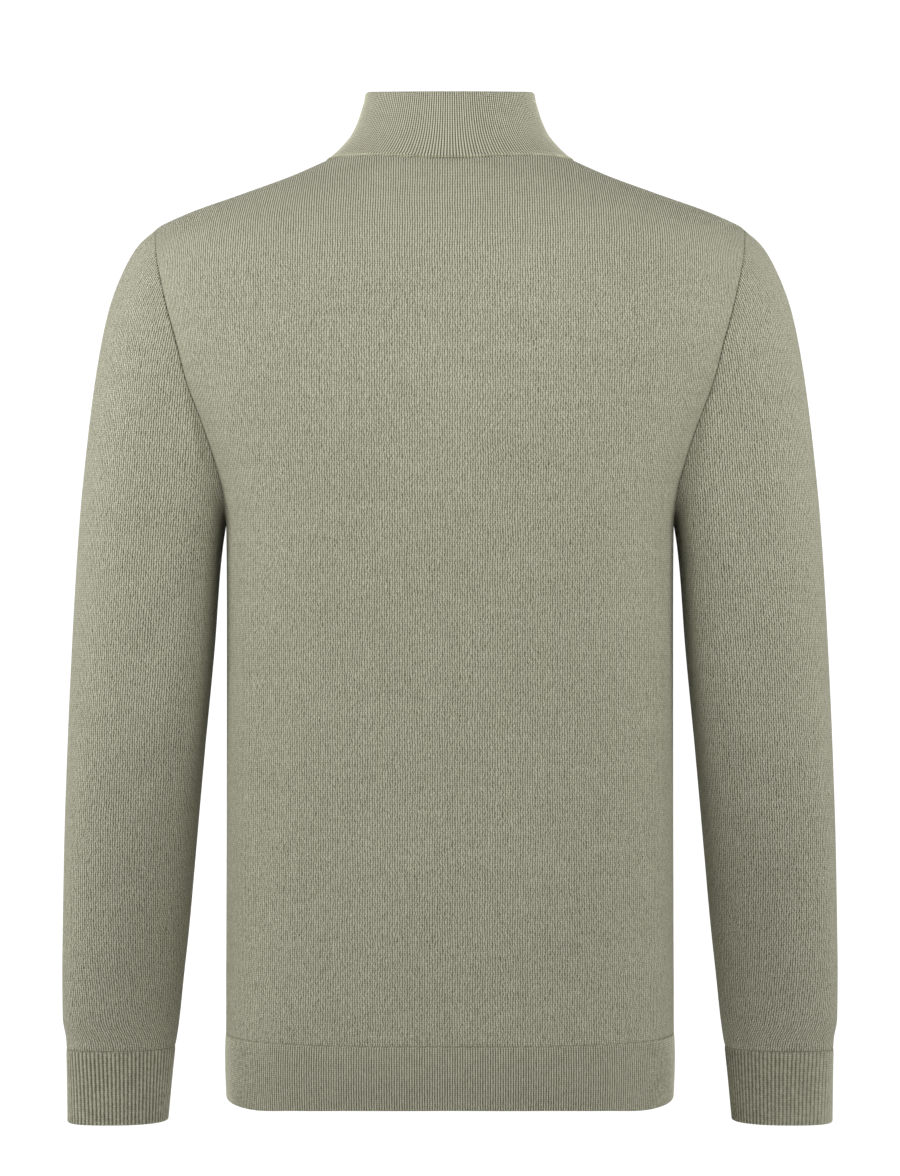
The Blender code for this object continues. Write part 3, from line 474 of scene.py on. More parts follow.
# %% [markdown]
# ## Folds
# A fold is a soft trough or ridge along a line from (x1, z1) to (x2, z2), as seen from the front
# or the back, in millimetres. It has a height, which is below 0 for a trough, and a width. It is
# strongest at its middle and fades out towards a piece's edges and its other side.

# %% Folds
FOLD_EDGE = 6.0  # within about this distance of a piece's edge a fold fades out
FOLD_SIDE = 30.0  # the depth of body over which a fold passes from full to nothing


def fold_lift(places, folds):
    """The lift of each point by all folds. A fold is (x1, z1, x2, z2, height, width)."""
    lift = np.zeros(places.shape[:2])
    for x1, z1, x2, z2, height, width in folds:
        start, line = np.array([x1, z1]), np.array([x2 - x1, z2 - z1])
        share = np.clip(((places - start) @ line) / (line @ line), 0, 1)
        bow = np.sin(math.pi * share)
        foot = start + share[..., None] * line
        away = np.linalg.norm(places - foot, axis=-1)
        lift += height * np.exp(-((away / width) ** 2)) * (0.25 + 0.75 * bow)
    return lift


print("a fold's middle:", fold_lift(np.array([[[0.0, 5.0]]]), [(0, 0, 0, 10, 1.0, 8)])[0, 0], "mm high")

# %% [markdown]
# ## A cut piece
# `Cloth` holds one piece. Its grid stays where the form puts it, and `outer` and `inner` say how
# far the wall's two faces are moved from there by seams, ridges, ribs and folds. `mesh` turns it
# into a closed wall. A piece is laid flat by a `lay`, a function from its points and normals to
# its flat places.

# %% Cloth
LOW_SEAM_Z = (-210.0, -120.0)  # between these heights a seam passes from its low share to all of it


def upward(normal):
    """The way of the wales where they stand upright."""
    return np.broadcast_to(np.array([0, 0, 1.0]), normal.shape)


def along_wales(wale_way, centre):
    """A lay that follows the way of the wales, from a centre column."""

    def lay(points, normal):
        return flat_places(points, normal, wale_way(normal), centre)

    return lay


class Cloth:
    """One cut piece: its outer grid in millimetres, normals, flat places and thickness."""

    def __init__(self, name, points, middle, thickness, lay):
        self.name, self.points, self.thickness = name, points, thickness
        self.normal = normals_of(points, middle)
        self.places = lay(points, self.normal)
        self.edges = edge_distances(points)
        self.outer = np.zeros(points.shape[:2])
        self.inner = np.zeros(points.shape[:2])
        self.missing = None
        self.uv = self.places * MM

    def seam(self, edge, depth, width, low_share=1.0):
        """Sinks the surface along a seam, and only by a share of the depth low down at the armpit."""
        share = np.interp(self.points[..., 2], LOW_SEAM_Z, (low_share, 1.0))
        self.outer -= share * groove(self.edges[edge], depth, width)

    def ridge(self, edge, height, away, width):
        """A soft ridge beside a seam."""
        self.outer += height * np.exp(-(((self.edges[edge] - away) / width) ** 2))

    def free_edge(self, edge):
        """Rolls both faces in along an edge until they meet."""
        turned = half_round(self.edges[edge], self.thickness)
        self.outer -= turned
        self.inner += turned

    def fold(self, folds):
        """Moves the wall along the folds of the back and of the front."""
        for side, folds_there in folds.items():
            lift = fold_lift(self.points[..., [0, 2]], folds_there)
            lift *= np.clip(0.5 + side * self.points[..., 1] / FOLD_SIDE, 0, 1)
            for distance in self.edges.values():
                lift *= 1 - np.exp(-((distance / FOLD_EDGE) ** 2))
            self.outer += lift
            self.inner += lift

    def mesh(self):
        """The closed wall as a mesh object, in metres, with the flat places as its UV map."""
        rows, columns = self.points.shape[:2]
        outer = self.points + self.normal * self.outer[..., None]
        inner = self.points + self.normal * (self.inner - self.thickness)[..., None]
        number = np.arange(rows * columns).reshape(rows, columns)
        quads = np.stack([number[:-1, :-1], number[:-1, 1:], number[1:, 1:], number[1:, :-1]], axis=-1)
        keep = np.ones((rows - 1, columns - 1), bool) if self.missing is None else ~self.missing
        quads = quads[keep]
        sample = quads[len(quads) // 2]
        corners = outer.reshape(-1, 3)[sample]
        facing = np.cross(corners[1] - corners[0], corners[2] - corners[0])
        if facing @ self.normal.reshape(-1, 3)[sample[0]] < 0:
            quads = quads[:, ::-1]
        ends = np.stack([quads, np.roll(quads, -1, axis=1)], axis=-1).reshape(-1, 2)
        key = np.sort(ends, axis=1) @ np.array([rows * columns, 1])
        _, where, count = np.unique(key, return_index=True, return_counts=True)
        rim = ends[where[count == 1]]
        half = rows * columns
        sides = np.stack([rim[:, 1], rim[:, 0], rim[:, 0] + half, rim[:, 1] + half], axis=-1)
        faces = np.concatenate([quads, quads[:, ::-1] + half, sides])
        points = np.concatenate([outer.reshape(-1, 3), inner.reshape(-1, 3)]) * MM
        uv = np.concatenate([self.uv.reshape(-1, 2)] * 2)
        used = np.unique(faces)
        renumber = np.zeros(len(points), int)
        renumber[used] = np.arange(len(used))
        faces = renumber[faces]
        made = bpy.data.meshes.new(self.name)
        made.vertices.add(len(used))
        made.vertices.foreach_set("co", points[used].ravel())
        made.loops.add(faces.size)
        made.loops.foreach_set("vertex_index", faces.ravel())
        made.polygons.add(len(faces))
        made.polygons.foreach_set("loop_start", np.arange(len(faces)) * 4)
        made.update(calc_edges=True)
        layer = made.uv_layers.new(name="cloth")
        layer.data.foreach_set("uv", uv[used][faces.ravel()].ravel())
        made.shade_smooth()
        made.validate()
        obj = bpy.data.objects.new(self.name, made)
        bpy.context.scene.collection.objects.link(obj)
        print(self.name, 2 * len(faces), "triangles")
        return obj


# %% [markdown]
# ## Knit as a material
# Jersey is columns of small V stitches, called wales. The pattern is worked out from the flat
# places: u counts the wales and v the stitches up a wale. Each stitch has two slanting arms, a
# random shade of its own, as in a melange yarn, and a rounded height for the bump. The same
# height paints shade into the colour: the grooves between wales and stitches are painted darker
# and the crowns lighter, a painted shade and painted highlight that grow stronger towards the
# shoulders. A slow noise bends the wales a little. Ribbing uses the same stitches at the pitch of
# its modelled ribs, so there the painted shade lies in the rib valleys and the painted highlight
# on the crests.

# %% Knit material


class Nodes:
    """A short way to write a material's node tree."""

    def __init__(self, name):
        self.material = bpy.data.materials.new(name)
        self.material.use_nodes = True
        self.tree = self.material.node_tree
        self.shader = self.tree.nodes["Principled BSDF"]

    def put(self, value, socket):
        if isinstance(value, bpy.types.NodeSocket):
            self.tree.links.new(value, socket)
        elif value is not None:
            socket.default_value = value

    def add(self, kind, inputs=(), **settings):
        node = self.tree.nodes.new(kind)
        for key, value in settings.items():
            setattr(node, key, value)
        for key, value in dict(inputs).items():
            self.put(value, node.inputs[key])
        return node

    def math(self, operation, *values):
        return self.add("ShaderNodeMath", enumerate(values), operation=operation).outputs[0]

    def noise(self, vector, scale, detail=2.0, rough=0.5):
        inputs = {"Vector": vector, "Scale": scale, "Detail": detail, "Roughness": rough}
        return self.add("ShaderNodeTexNoise", inputs).outputs["Fac"]

    def vector(self, x, y, z=0.0):
        return self.add("ShaderNodeCombineXYZ", {"X": x, "Y": y, "Z": z}).outputs[0]

    def ramp(self, factor, stops):
        node = self.add("ShaderNodeValToRGB", {"Fac": factor})
        while len(node.color_ramp.elements) < len(stops):
            node.color_ramp.elements.new(0.5)
        for element, (place, colour) in zip(node.color_ramp.elements, stops):
            element.position = place
            element.color = (*colour, 1)
        return node.outputs["Color"]

    def finish(self, colour, height=None, relief=0.0003, **values):
        self.put(colour, self.shader.inputs["Base Color"])
        if height is not None:
            bump = self.add("ShaderNodeBump", {"Height": height, "Distance": relief, "Strength": 1.0})
            self.tree.links.new(bump.outputs["Normal"], self.shader.inputs["Normal"])
        for key, value in values.items():
            self.shader.inputs[key.replace("_", " ").title()].default_value = value
        return self.material


WALE = 0.00178
COURSE = 0.00135
# Between these heights the wales grow straighter, and the painted groove shade and crown highlight grow
# stronger.
SHOULDER_FROM, SHOULDER_TO = -0.10, -0.045  # heights between which the stitches grow clearer
SHEEN = (0.66, 0.65, 0.47, 1)
# The darkest and lightest stops hold both the melange's darker and lighter yarn and the painted groove shade
# and crown highlight.
DARK_YARN_AND_SHADE, MID, LIGHT_YARN_AND_HIGHLIGHT = (0.110, 0.108, 0.065), (0.305, 0.301, 0.214), (0.570, 0.560, 0.438)


def knit(name, wale, course, painted_groove_contrast, relief, crisp=0.0, shade=1.0):
    """A melange knit whose stitches follow the UV map named cloth, with painted shade in their grooves and
    painted highlight on their crowns, both stronger at the shoulders.
    """
    n = Nodes(name)
    place = n.add("ShaderNodeUVMap", uv_map="cloth").outputs["UV"]
    split = n.add("ShaderNodeSeparateXYZ", {"Vector": place})
    body = n.add("ShaderNodeTexCoord").outputs["Object"]
    high = n.add("ShaderNodeSeparateXYZ", {"Vector": body}).outputs["Z"]
    shoulders = {"Value": high, "From Min": SHOULDER_FROM, "From Max": SHOULDER_TO}
    upper = n.add("ShaderNodeMapRange", shoulders).outputs[0]
    bend = n.math("SUBTRACT", n.noise(body, 30, 2), 0.5)
    calmer = n.math("MULTIPLY_ADD", upper, -0.75, 1.05)
    jolt = n.math("MULTIPLY", n.math("SUBTRACT", n.noise(body, 520, 1), 0.5), calmer)
    sway = n.math("MULTIPLY", bend, 1.2 * (1 - crisp) ** 2)
    across = n.math("MULTIPLY_ADD", split.outputs["X"], 1 / wale, sway)
    across = n.math("MULTIPLY_ADD", jolt, 1 - crisp, across)
    along = n.math("MULTIPLY_ADD", split.outputs["Y"], 1 / course, n.math("MULTIPLY", bend, 1.6))
    in_wale = n.math("FRACT", across)
    off_middle = n.math("ABSOLUTE", n.math("MULTIPLY_ADD", in_wale, 2.0, -1.0))
    arm = n.math("MULTIPLY_ADD", off_middle, -0.6, along)
    in_arm = n.math("FRACT", arm)
    strand = n.math("SINE", n.math("MULTIPLY", in_arm, math.pi))
    crown = n.math("SINE", n.math("MULTIPLY", in_wale, math.pi))
    height = n.math("MULTIPLY", crown, n.math("MULTIPLY_ADD", strand, 0.5, 0.5))
    cell = n.vector(n.math("FLOOR", across), n.math("FLOOR", arm))
    own = n.add("ShaderNodeTexWhiteNoise", {"Vector": cell}, noise_dimensions="2D").outputs["Value"]
    heather = n.noise(body, 1500, 2, 0.8)
    patch = n.noise(body, 14, 2, 0.5)
    rows = n.vector(n.math("MULTIPLY", split.outputs["X"], 9), n.math("MULTIPLY", split.outputs["Y"], 160))
    bands = n.noise(rows, 1.0, 2)
    # Painted shade and highlight: the stitch height darkens the grooves and lightens the crowns, more so
    # towards the shoulders.
    depth = n.math("MULTIPLY_ADD", upper, 0.6 * painted_groove_contrast, painted_groove_contrast)
    tone = n.math("MULTIPLY_ADD", n.math("SUBTRACT", height, 0.5), depth, 0.5)
    for value, amount in ((own, 0.16), (heather, 0.75), (patch, 0.10), (bands, 0.12)):
        tone = n.math("MULTIPLY_ADD", n.math("SUBTRACT", value, 0.5), amount, tone)
    stops = [(0.0, DARK_YARN_AND_SHADE), (0.5, MID), (1.0, LIGHT_YARN_AND_HIGHLIGHT)]
    colour = n.ramp(tone, [(at, [shade * c for c in tint]) for at, tint in stops])
    return n.finish(colour, height, relief, Roughness=0.92, Sheen_Weight=0.1, Sheen_Tint=SHEEN)


# The sleeves' knit has a stronger painted groove shade and crown highlight than the body's.
fine_knit = knit("fine_knit", WALE, COURSE, 1.15, 0.0004)
sleeve_knit = knit("fine_knit_sleeve", WALE, COURSE, 1.5, 0.0004)
print("stitches of", 1000 * WALE, "by", 1000 * COURSE, "mm")

# %% [markdown]
# ## Back and front
# Both panels run from the hem band to the shoulders. Below the armpit the rows are level. Above
# it they turn from level to the line of the neck and shoulder, while the outer column follows the
# armhole. The front has two more columns beside its middle, because the zip's opening is cut
# between them.

# %% Body panels
HALF_COLUMNS = 46
TORSO_ROWS = 62
YOKE_ROWS = 56
SLIT_FROM = 0.5  # the share of the yoke at which the zip's opening starts
STRIP_COLUMNS = 3
NECK_SHARE = {BACK: 6 / 11, FRONT: 5 / 10}  # the share of a panel's columns that ends at the neck


def body_wale_way(side):
    """The way of the wales: up the body, and over the shoulder towards the other panel."""

    def way(normal):
        over = np.clip(normal[..., 2:], 0, 1) ** 2
        return np.array([0, 0, 1.0]) * (1 - over) + np.array([0, -float(side), 0]) * over

    return way


def top_edge(share, side):
    """A panel's top edge at shares of its columns: the neck curve, then the shoulder out to its tip."""
    first = 0.0 if side == BACK else math.asin(ZIP_HALF_GAP / NECK_HALF_WIDTH)
    neck_end = NECK_SHARE[side]
    angle = first + (math.pi / 2 - first) * np.minimum(share / neck_end, 1)
    x = NECK_HALF_WIDTH * np.sin(angle)
    points = neck_point(x, side)
    out = share > neck_end
    tip = armhole_point(np.array(1.0), side)
    shoulder_x = NECK_HALF_WIDTH + (tip[0] - NECK_HALF_WIDTH) * (share[out] - neck_end) / (1 - neck_end)
    middle_y = np.zeros_like(shoulder_x)
    shoulder_z = height_on_form(shoulder_x, middle_y, side)
    points[out] = np.stack([shoulder_x, middle_y, shoulder_z], axis=-1)
    points[-1] = tip
    return points


def yoke_grid(share, turn, rises, side):
    """The rows above the armpit."""
    top = top_edge(share, side)
    climb = ((1 - np.cos(rises * math.pi)) / 2)[:, None]
    edge = armhole_point(rises, side)
    start = ring_point(turn, ARMPIT_Z, side)
    side_x, tip = start[-1, 0], top[-1]
    across = turn**2
    x = start[:, 0] + (top[:, 0] - start[:, 0]) * climb
    x = x + across * (edge[:, :1] - side_x - (tip[0] - side_x) * climb)
    z = start[:, 2] + (top[:, 2] - start[:, 2]) * climb
    z = z + across * (edge[:, 2:] - ARMPIT_Z - (tip[2] - ARMPIT_Z) * climb)
    if side == FRONT:
        x[:, 0] = ZIP_HALF_GAP
    points = body_point(x, z, side)
    points[:, -1] = edge
    points[-1] = top
    return points


def with_middle(half, side):
    """A whole grid from its left half. On the front, a narrow strip joins the two sides of the opening."""
    other = half[:, ::-1] * np.array([-1, 1, 1])
    if side == BACK:
        return np.concatenate([other[:, :-1], half], axis=1)
    x = np.linspace(-ZIP_HALF_GAP, ZIP_HALF_GAP, STRIP_COLUMNS + 2)[1:-1]
    z = np.repeat(half[:, :1, 2], len(x), axis=1)
    return np.concatenate([other, body_point(x[None, :], z, side), half], axis=1)


def body_panel(side, name):
    """The back or the front as plain cloth. The front has its opening cut."""
    edge_steps = seam_steps(220)
    start_steps = () if side == BACK else seam_steps(220)
    share = spread(HALF_COLUMNS, start_steps, edge_steps)
    first = 0.0
    if side == FRONT:
        first = math.asin(ZIP_HALF_GAP / section_at(np.array(ARMPIT_Z))[0]) / (math.pi / 2)
    turn = first + (1 - first) * share
    heights = BAND_TOP_Z + (ARMPIT_Z - BAND_TOP_Z) * spread(TORSO_ROWS, seam_steps(378))[:-1]
    torso = ring_point(turn[None, :], heights[:, None], side)
    if side == FRONT:
        torso[:, 0] = body_point(ZIP_HALF_GAP, heights, side)
    rises = spread(YOKE_ROWS, (), seam_steps(240))
    near_slit = [SLIT_FROM + k for k in (0.004, 0.01, 0.02)] if side == FRONT else []
    rises = np.unique(np.concatenate([rises, near_slit, [SLIT_FROM]]).round(6))
    half = np.concatenate([torso, yoke_grid(share, turn, rises, side)])
    points = with_middle(half, side)
    middle = points * np.array([0, 0, 1])
    lay = along_wales(body_wale_way(side), points.shape[1] // 2)
    cloth = Cloth(name, points, middle, CLOTH, lay)
    if side == FRONT:
        strip = STRIP_COLUMNS + 1
        rows = len(heights) + int(np.argmin(np.abs(rises - SLIT_FROM)))
        cloth.missing = np.zeros((points.shape[0] - 1, points.shape[1] - 1), bool)
        start = half.shape[1] - 1
        cloth.missing[rows:, start : start + strip] = True
        beside = np.abs(np.abs(points[..., 0]) - ZIP_HALF_GAP)
        turned = np.where((np.arange(len(points)) >= rows)[:, None], half_round(beside, CLOTH), 0)
        cloth.outer -= turned
        cloth.inner += turned
    return cloth


# x1, z1, x2, z2, height, width
BODY_FOLDS = {
    BACK: [
        (146, -318, 142, -478, 1.2, 8),
        (128, -350, 131, -520, -1.0, 11),
        (150, -600, 96, -622, 1.3, 12),
        (141, -588, 88, -596, -0.9, 9),
        (110, -505, 30, -600, -1.0, 16),
        (96, -520, 10, -618, 0.9, 14),
        (-151, -330, -147, -430, 0.7, 9),
        (-150, -560, -100, -610, -0.8, 14),
        (-128, -150, -92, -215, -0.9, 18),
        (-104, -148, -70, -214, 0.7, 15),
        (96, -130, 132, -205, -0.7, 15),
        (60, -290, 14, -420, 0.6, 24),
        (-20, -330, -70, -470, -0.6, 22),
    ],
    FRONT: [
        (-147, -322, -141, -470, 1.2, 9),
        (-129, -352, -133, -512, -0.9, 12),
        (149, -340, 146, -452, 0.8, 9),
        (148, -598, 92, -617, 1.2, 12),
        (-146, -590, -90, -606, -0.9, 11),
        (104, -500, 34, -596, -0.9, 15),
        (-92, -512, -20, -604, 0.8, 15),
        (122, -152, 88, -222, -0.8, 16),
        (-120, -150, -90, -208, -0.7, 15),
        (34, -300, 60, -430, 0.6, 22),
        (-30, -310, -52, -440, -0.6, 22),
    ],
}


def front_or_back(side):
    """A panel with its seams sunk and its folds laid."""
    name = "knit_back" if side == BACK else "knit_front"
    cloth = body_panel(side, name)
    cloth.seam("bottom", 0.5, 0.7)
    cloth.seam("top", 0.9, 0.7)
    cloth.seam("first", 0.7, 0.6, 0.15)
    cloth.seam("last", 0.7, 0.6, 0.15)
    cloth.fold(BODY_FOLDS)
    return cloth


panels = {side: front_or_back(side) for side in (BACK, FRONT)}
print("flat height of the back at its middle:", round(float(panels[BACK].places[..., 1].max())), "mm")

# %% [markdown]
# ## Sleeves
# A sleeve is a tube with its seam on the inner line. It is laid flat by level sections: in each,
# the way round is measured from the outer line. So the wales run straight up into the armhole,
# and meet the seam at a slant, as on a sleeve that is shaped along its underarm.

# %% Sleeves
SLEEVE_COLUMNS = 96
SLEEVE_ROWS = 150
SLEEVE_LEVELS = 900


def armhole_loop(around):
    """The armhole's points at turns around it, in the order of a ring."""
    round_it = np.mod(around, 1.0)
    behind = round_it <= 0.5
    turn = np.where(behind, 1 - 2 * round_it, 2 * round_it - 1)
    return np.where(behind[:, None], armhole_point(turn, BACK), armhole_point(turn, FRONT))


def down_the_arm(loops, places):
    """Smooth lines through a table of loops, read at places from 0 to 1 along them."""
    loops = np.array(loops)
    steps = np.linalg.norm(np.diff(loops, axis=0), axis=-1).mean(axis=1)
    lengths = np.concatenate([[0], np.cumsum(steps)])
    flat = read_table(lengths, loops.reshape(len(loops), -1), places * lengths[-1])
    return flat.reshape(len(places), -1, 3)


def tube_places(points, centre):
    """Flat places on a sleeve: the way round in a level section, and the length up the outer line."""
    heights = np.linspace(points[..., 2].min(), points[..., 2].max(), SLEEVE_LEVELS)
    lines = points.transpose(1, 0, 2)
    level = np.array([[np.interp(heights, line[:, 2], line[:, k]) for k in (0, 1)] for line in lines])
    steps = np.linalg.norm(np.diff(level, axis=0), axis=1)
    around = np.concatenate([np.zeros((1, len(heights))), np.cumsum(steps, axis=0)])
    around -= around[centre]
    outer = points[:, centre]
    along = np.concatenate([[0], np.cumsum(np.linalg.norm(np.diff(outer, axis=0), axis=-1))])
    u = np.stack([np.interp(line[:, 2], heights, way) for line, way in zip(lines, around)], axis=1)
    return np.stack([u, np.interp(points[..., 2], outer[:, 2], along)], axis=-1)


# x1, z1, x2, z2, height, width
SLEEVE_FOLDS = {
    BACK: [
        (180, -170, 175, -220, -3.6, 3.0),
        (188, -170, 183, -226, 0.8, 4.5),
        (196, -214, 177, -232, -1.3, 4),
        (214, -206, 190, -224, 0.8, 6),
        (182, -300, 222, -372, -0.8, 9),
        (197, -288, 238, -352, 0.7, 9),
        (192, -432, 250, -476, -1.0, 10),
        (206, -414, 268, -446, 0.8, 9),
        (212, -520, 268, -548, -0.9, 9),
        (204, -572, 262, -590, 0.8, 9),
        (216, -612, 272, -620, -0.7, 7),
    ],
    FRONT: [
        (181, -170, 175, -224, -2.0, 3.6),
        (195, -208, 178, -230, -1.1, 5),
        (212, -200, 190, -220, 0.8, 6),
        (186, -306, 230, -366, -0.9, 9),
        (194, -428, 252, -460, -1.0, 10),
        (204, -410, 266, -436, 0.8, 10),
        (206, -508, 262, -540, -0.9, 9),
        (208, -580, 266, -602, 0.7, 9),
    ],
}


def sleeve(name):
    """The left sleeve, from its cuff seam up to the armhole."""
    around = -0.5 + spread(SLEEVE_COLUMNS, seam_steps(330), seam_steps(330))
    loops = [armhole_loop(around)] + [ring_loop(r, around, SLEEVE_SQUARENESS) for r in SLEEVE_RINGS]
    loops.append(ring_loop(CUFF_RINGS[0], around, CUFF_SQUARENESS))
    places = spread(SLEEVE_ROWS, seam_steps(480), seam_steps(480))
    points = down_the_arm(loops, places)[::-1]
    middle = points.mean(axis=1, keepdims=True)
    centre = int(np.argmin(np.abs(around)))
    cloth = Cloth(name, points, middle, CLOTH, lambda grid, normal: tube_places(grid, centre))
    cloth.seam("top", 0.75, 0.6, 0.15)
    for edge in ("bottom", "first", "last"):
        cloth.seam(edge, 0.5, 1.0)
    cloth.fold(SLEEVE_FOLDS)
    return cloth


arm = sleeve("knit_sleeve_left")
print("outer line of a sleeve:", round(float(np.ptp(arm.places[:, SLEEVE_COLUMNS // 2, 1]))), "mm")

# %% [markdown]
# ## Ribbed pieces
# The collar, cuffs and hem band are one by one rib: every raised wale stands between two sunk
# ones. These ribs are modelled, because they show along the edges. Each piece's columns are
# spaced evenly along its seam, several to a rib, and a wave raises and lowers them. The wave
# fades out close to the seams.

# %% Ribs
COLUMNS_PER_RIB = 6
CUFF_COLUMNS_PER_RIB = 8
RIB_FADE = 1.6  # within about this distance of a seam the ribs fade out


def even_places(curve, count, low=0.0, high=1.0, fine=4000):
    """Places at which a curve is cut into equal lengths."""
    t = np.linspace(low, high, fine)
    lengths = np.concatenate([[0], np.cumsum(np.linalg.norm(np.diff(curve(t), axis=0), axis=-1))])
    return np.interp(np.linspace(0, lengths[-1], count + 1), lengths, t), lengths[-1]


def raise_ribs(cloth, ribs, height, fade_edges):
    """Raises the ribs on both faces, and gives each column's place among the ribs."""
    columns = cloth.points.shape[1]
    phase = np.arange(columns) / (columns - 1) * ribs
    wave = 0.5 + 0.5 * np.cos(2 * math.pi * (phase - 0.5))
    fade = np.ones(cloth.points.shape[:2])
    for edge in fade_edges:
        fade *= 1 - np.exp(-((cloth.edges[edge] / RIB_FADE) ** 2))
    cloth.outer += height * (wave**0.8 - 0.6)[None, :] * fade
    cloth.inner += height * (wave - 0.5)[None, :] * fade
    return phase


def rib_uv(cloth, phase, pitch):
    """Sets the UV map, so that one rib is one wale."""
    v = cloth.places[..., 1] - cloth.places[..., 1].min()
    cloth.uv = np.stack([np.broadcast_to(phase * pitch, v.shape), v * MM], axis=-1)


HEM_PITCH = 0.0018
HEM_ROWS = 7
HEM_RIB = 0.55
HEM_BULGE = 0.6


def hem(side, name):
    """One half of the hem band. Its lower edge follows the hem's own line."""
    _, length = even_places(lambda t: ring_point(t, BAND_TOP_Z, side), 2000)
    ribs = 2 * round(length * MM / HEM_PITCH)
    half_turn, _ = even_places(lambda t: ring_point(t, BAND_TOP_Z, side), ribs * COLUMNS_PER_RIB // 2)
    edge_z = read_table(HEM_EDGE[:, 0], HEM_EDGE[:, 1], half_turn)
    rise = spread(HEM_ROWS, (0.006, 0.014, 0.024, 0.04), seam_steps(48))[:, None]
    half = ring_point(half_turn[None, :], edge_z[None, :] + (BAND_TOP_Z - edge_z[None, :]) * rise, side)
    points = np.concatenate([(half * np.array([-1, 1, 1]))[:, ::-1][:, :-1], half], axis=1)
    lay = along_wales(body_wale_way(side), points.shape[1] // 2)
    cloth = Cloth(name, points, points * np.array([0, 0, 1]), CLOTH, lay)
    phase = raise_ribs(cloth, ribs, HEM_RIB, ("first", "last", "top"))
    rib_uv(cloth, phase, HEM_PITCH)
    cloth.free_edge("bottom")
    bulge = HEM_BULGE * np.sin(math.pi * np.broadcast_to(rise, points.shape[:2]) ** 1.3)
    cloth.outer += bulge
    cloth.inner += bulge
    for edge in ("top", "first", "last"):
        cloth.seam(edge, 0.5, 0.9)
    return cloth


CUFF_PITCH = 0.0031
CUFF_ROWS = 10
CUFF_RIB = 0.75


def cuff(name):
    """The left cuff, from its free edge up to the sleeve."""
    ring = CUFF_RINGS[0]

    def seam_line(t):
        return ring_loop(ring, t, CUFF_SQUARENESS)

    _, length = even_places(seam_line, 2000, -0.5, 0.5)
    ribs = round(length * MM / CUFF_PITCH)
    around, _ = even_places(seam_line, ribs * CUFF_COLUMNS_PER_RIB, -0.5, 0.5)
    places = spread(CUFF_ROWS, seam_steps(56), (0.006, 0.014, 0.024, 0.036))
    points = down_the_arm([ring_loop(r, around, CUFF_SQUARENESS) for r in CUFF_RINGS], places)[::-1]
    middle = points.mean(axis=1, keepdims=True)
    cloth = Cloth(name, points, middle, CLOTH, along_wales(upward, points.shape[1] // 2))
    phase = raise_ribs(cloth, ribs, CUFF_RIB, ("top",))
    rib_uv(cloth, phase, CUFF_PITCH)
    cloth.free_edge("bottom")
    cloth.seam("top", 0.5, 0.9)
    return cloth


COLLAR_PITCH = 0.0021
COLLAR_RIBS = 234
COLLAR_ROWS = 14
COLLAR_RIB = 0.5


def collar():
    """The folded collar, from one side of the zip round the neck to the other."""
    first = math.asin(ZIP_HALF_GAP / NECK_HALF_WIDTH)
    last = math.pi - first

    def seam_line(angle):
        x = NECK_HALF_WIDTH * np.sin(angle)
        back = neck_point(x, BACK)
        return np.where((angle <= math.pi / 2)[:, None], back, neck_point(x, FRONT))

    angle, _ = even_places(seam_line, COLLAR_RIBS * COLUMNS_PER_RIB // 2, 0.0, last)
    rise = spread(COLLAR_ROWS, seam_steps(55), (0.008, 0.018, 0.03, 0.045))
    behind = angle <= math.pi / 2
    half = np.empty((len(rise), len(angle), 3))
    half[:, behind] = collar_points(NECK_HALF_WIDTH * np.sin(angle[behind]), BACK, rise)
    half[:, ~behind] = collar_points(NECK_HALF_WIDTH * np.sin(angle[~behind]), FRONT, rise)
    points = np.concatenate([(half * np.array([-1, 1, 1]))[:, ::-1][:, :-1], half], axis=1)
    lay = along_wales(upward, points.shape[1] // 2)
    cloth = Cloth("rib_collar", points, points * np.array([0, 0, 1]), COLLAR_CLOTH, lay)
    phase = raise_ribs(cloth, COLLAR_RIBS, COLLAR_RIB, ("first", "last", "bottom"))
    rib_uv(cloth, phase, COLLAR_PITCH)
    for edge in ("top", "first", "last"):
        cloth.free_edge(edge)
    cloth.seam("bottom", 1.1, 0.8)
    cloth.ridge("bottom", 0.7, 2.2, 0.9)
    return cloth


hems = {side: hem(side, "rib_hem_back" if side == BACK else "rib_hem_front") for side in (BACK, FRONT)}
wrist = cuff("rib_cuff_left")
neck_rib = collar()
# The hem band, cuffs and collar are the body's yarn painted a little darker by their last number, a painted
# shade. One rib is one wale, so the painted groove shade lies in the rib valleys and the painted highlight
# on the crests.
rib_knit = knit("rib_knit", HEM_PITCH, 0.0015, 1.3, 0.00012, 0.6, 0.95)
cuff_knit = knit("rib_knit_cuff", CUFF_PITCH, 0.0017, 1.05, 0.00015, 0.6, 0.93)
collar_knit = knit("rib_knit_collar", COLLAR_PITCH, 0.0015, 2.1, 0.00012, 0.85, 0.97)
print(COLLAR_RIBS, "ribs round the collar")

# %% [markdown]
# ## Putting the cloth in place
# Each piece becomes a mesh, rides on the garment's body and stands for its CAD node. The right
# sleeve and cuff are the left ones with x turned round.

# %% Cloth pieces


def mirrored(cloth, name):
    """The same piece on the wearer's right."""
    other = copy.copy(cloth)
    other.name = name
    other.points = cloth.points * np.array([-1, 1, 1])
    other.normal = cloth.normal * np.array([-1, 1, 1])
    other.uv = cloth.uv + np.array([10 * WALE, 10 * COURSE])
    return other


def wear(cloth, node, material, slot):
    """Makes a piece's mesh, with its material, rides it on the garment's body and hides the CAD node it
    stands for.
    """
    obj = cloth.mesh()
    obj.data.materials.append(material)
    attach(obj, "garment")
    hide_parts(node)
    return obj


def outer_area(cloth):
    """The cloth's flat area in square metres, measured on its outer grid."""
    a, b = np.diff(cloth.points, axis=0)[:, :-1], np.diff(cloth.points, axis=1)[:-1]
    size = np.linalg.norm(np.cross(a, b), axis=-1)
    if cloth.missing is not None:
        size = size[~cloth.missing]
    return float(size.sum()) * MM * MM


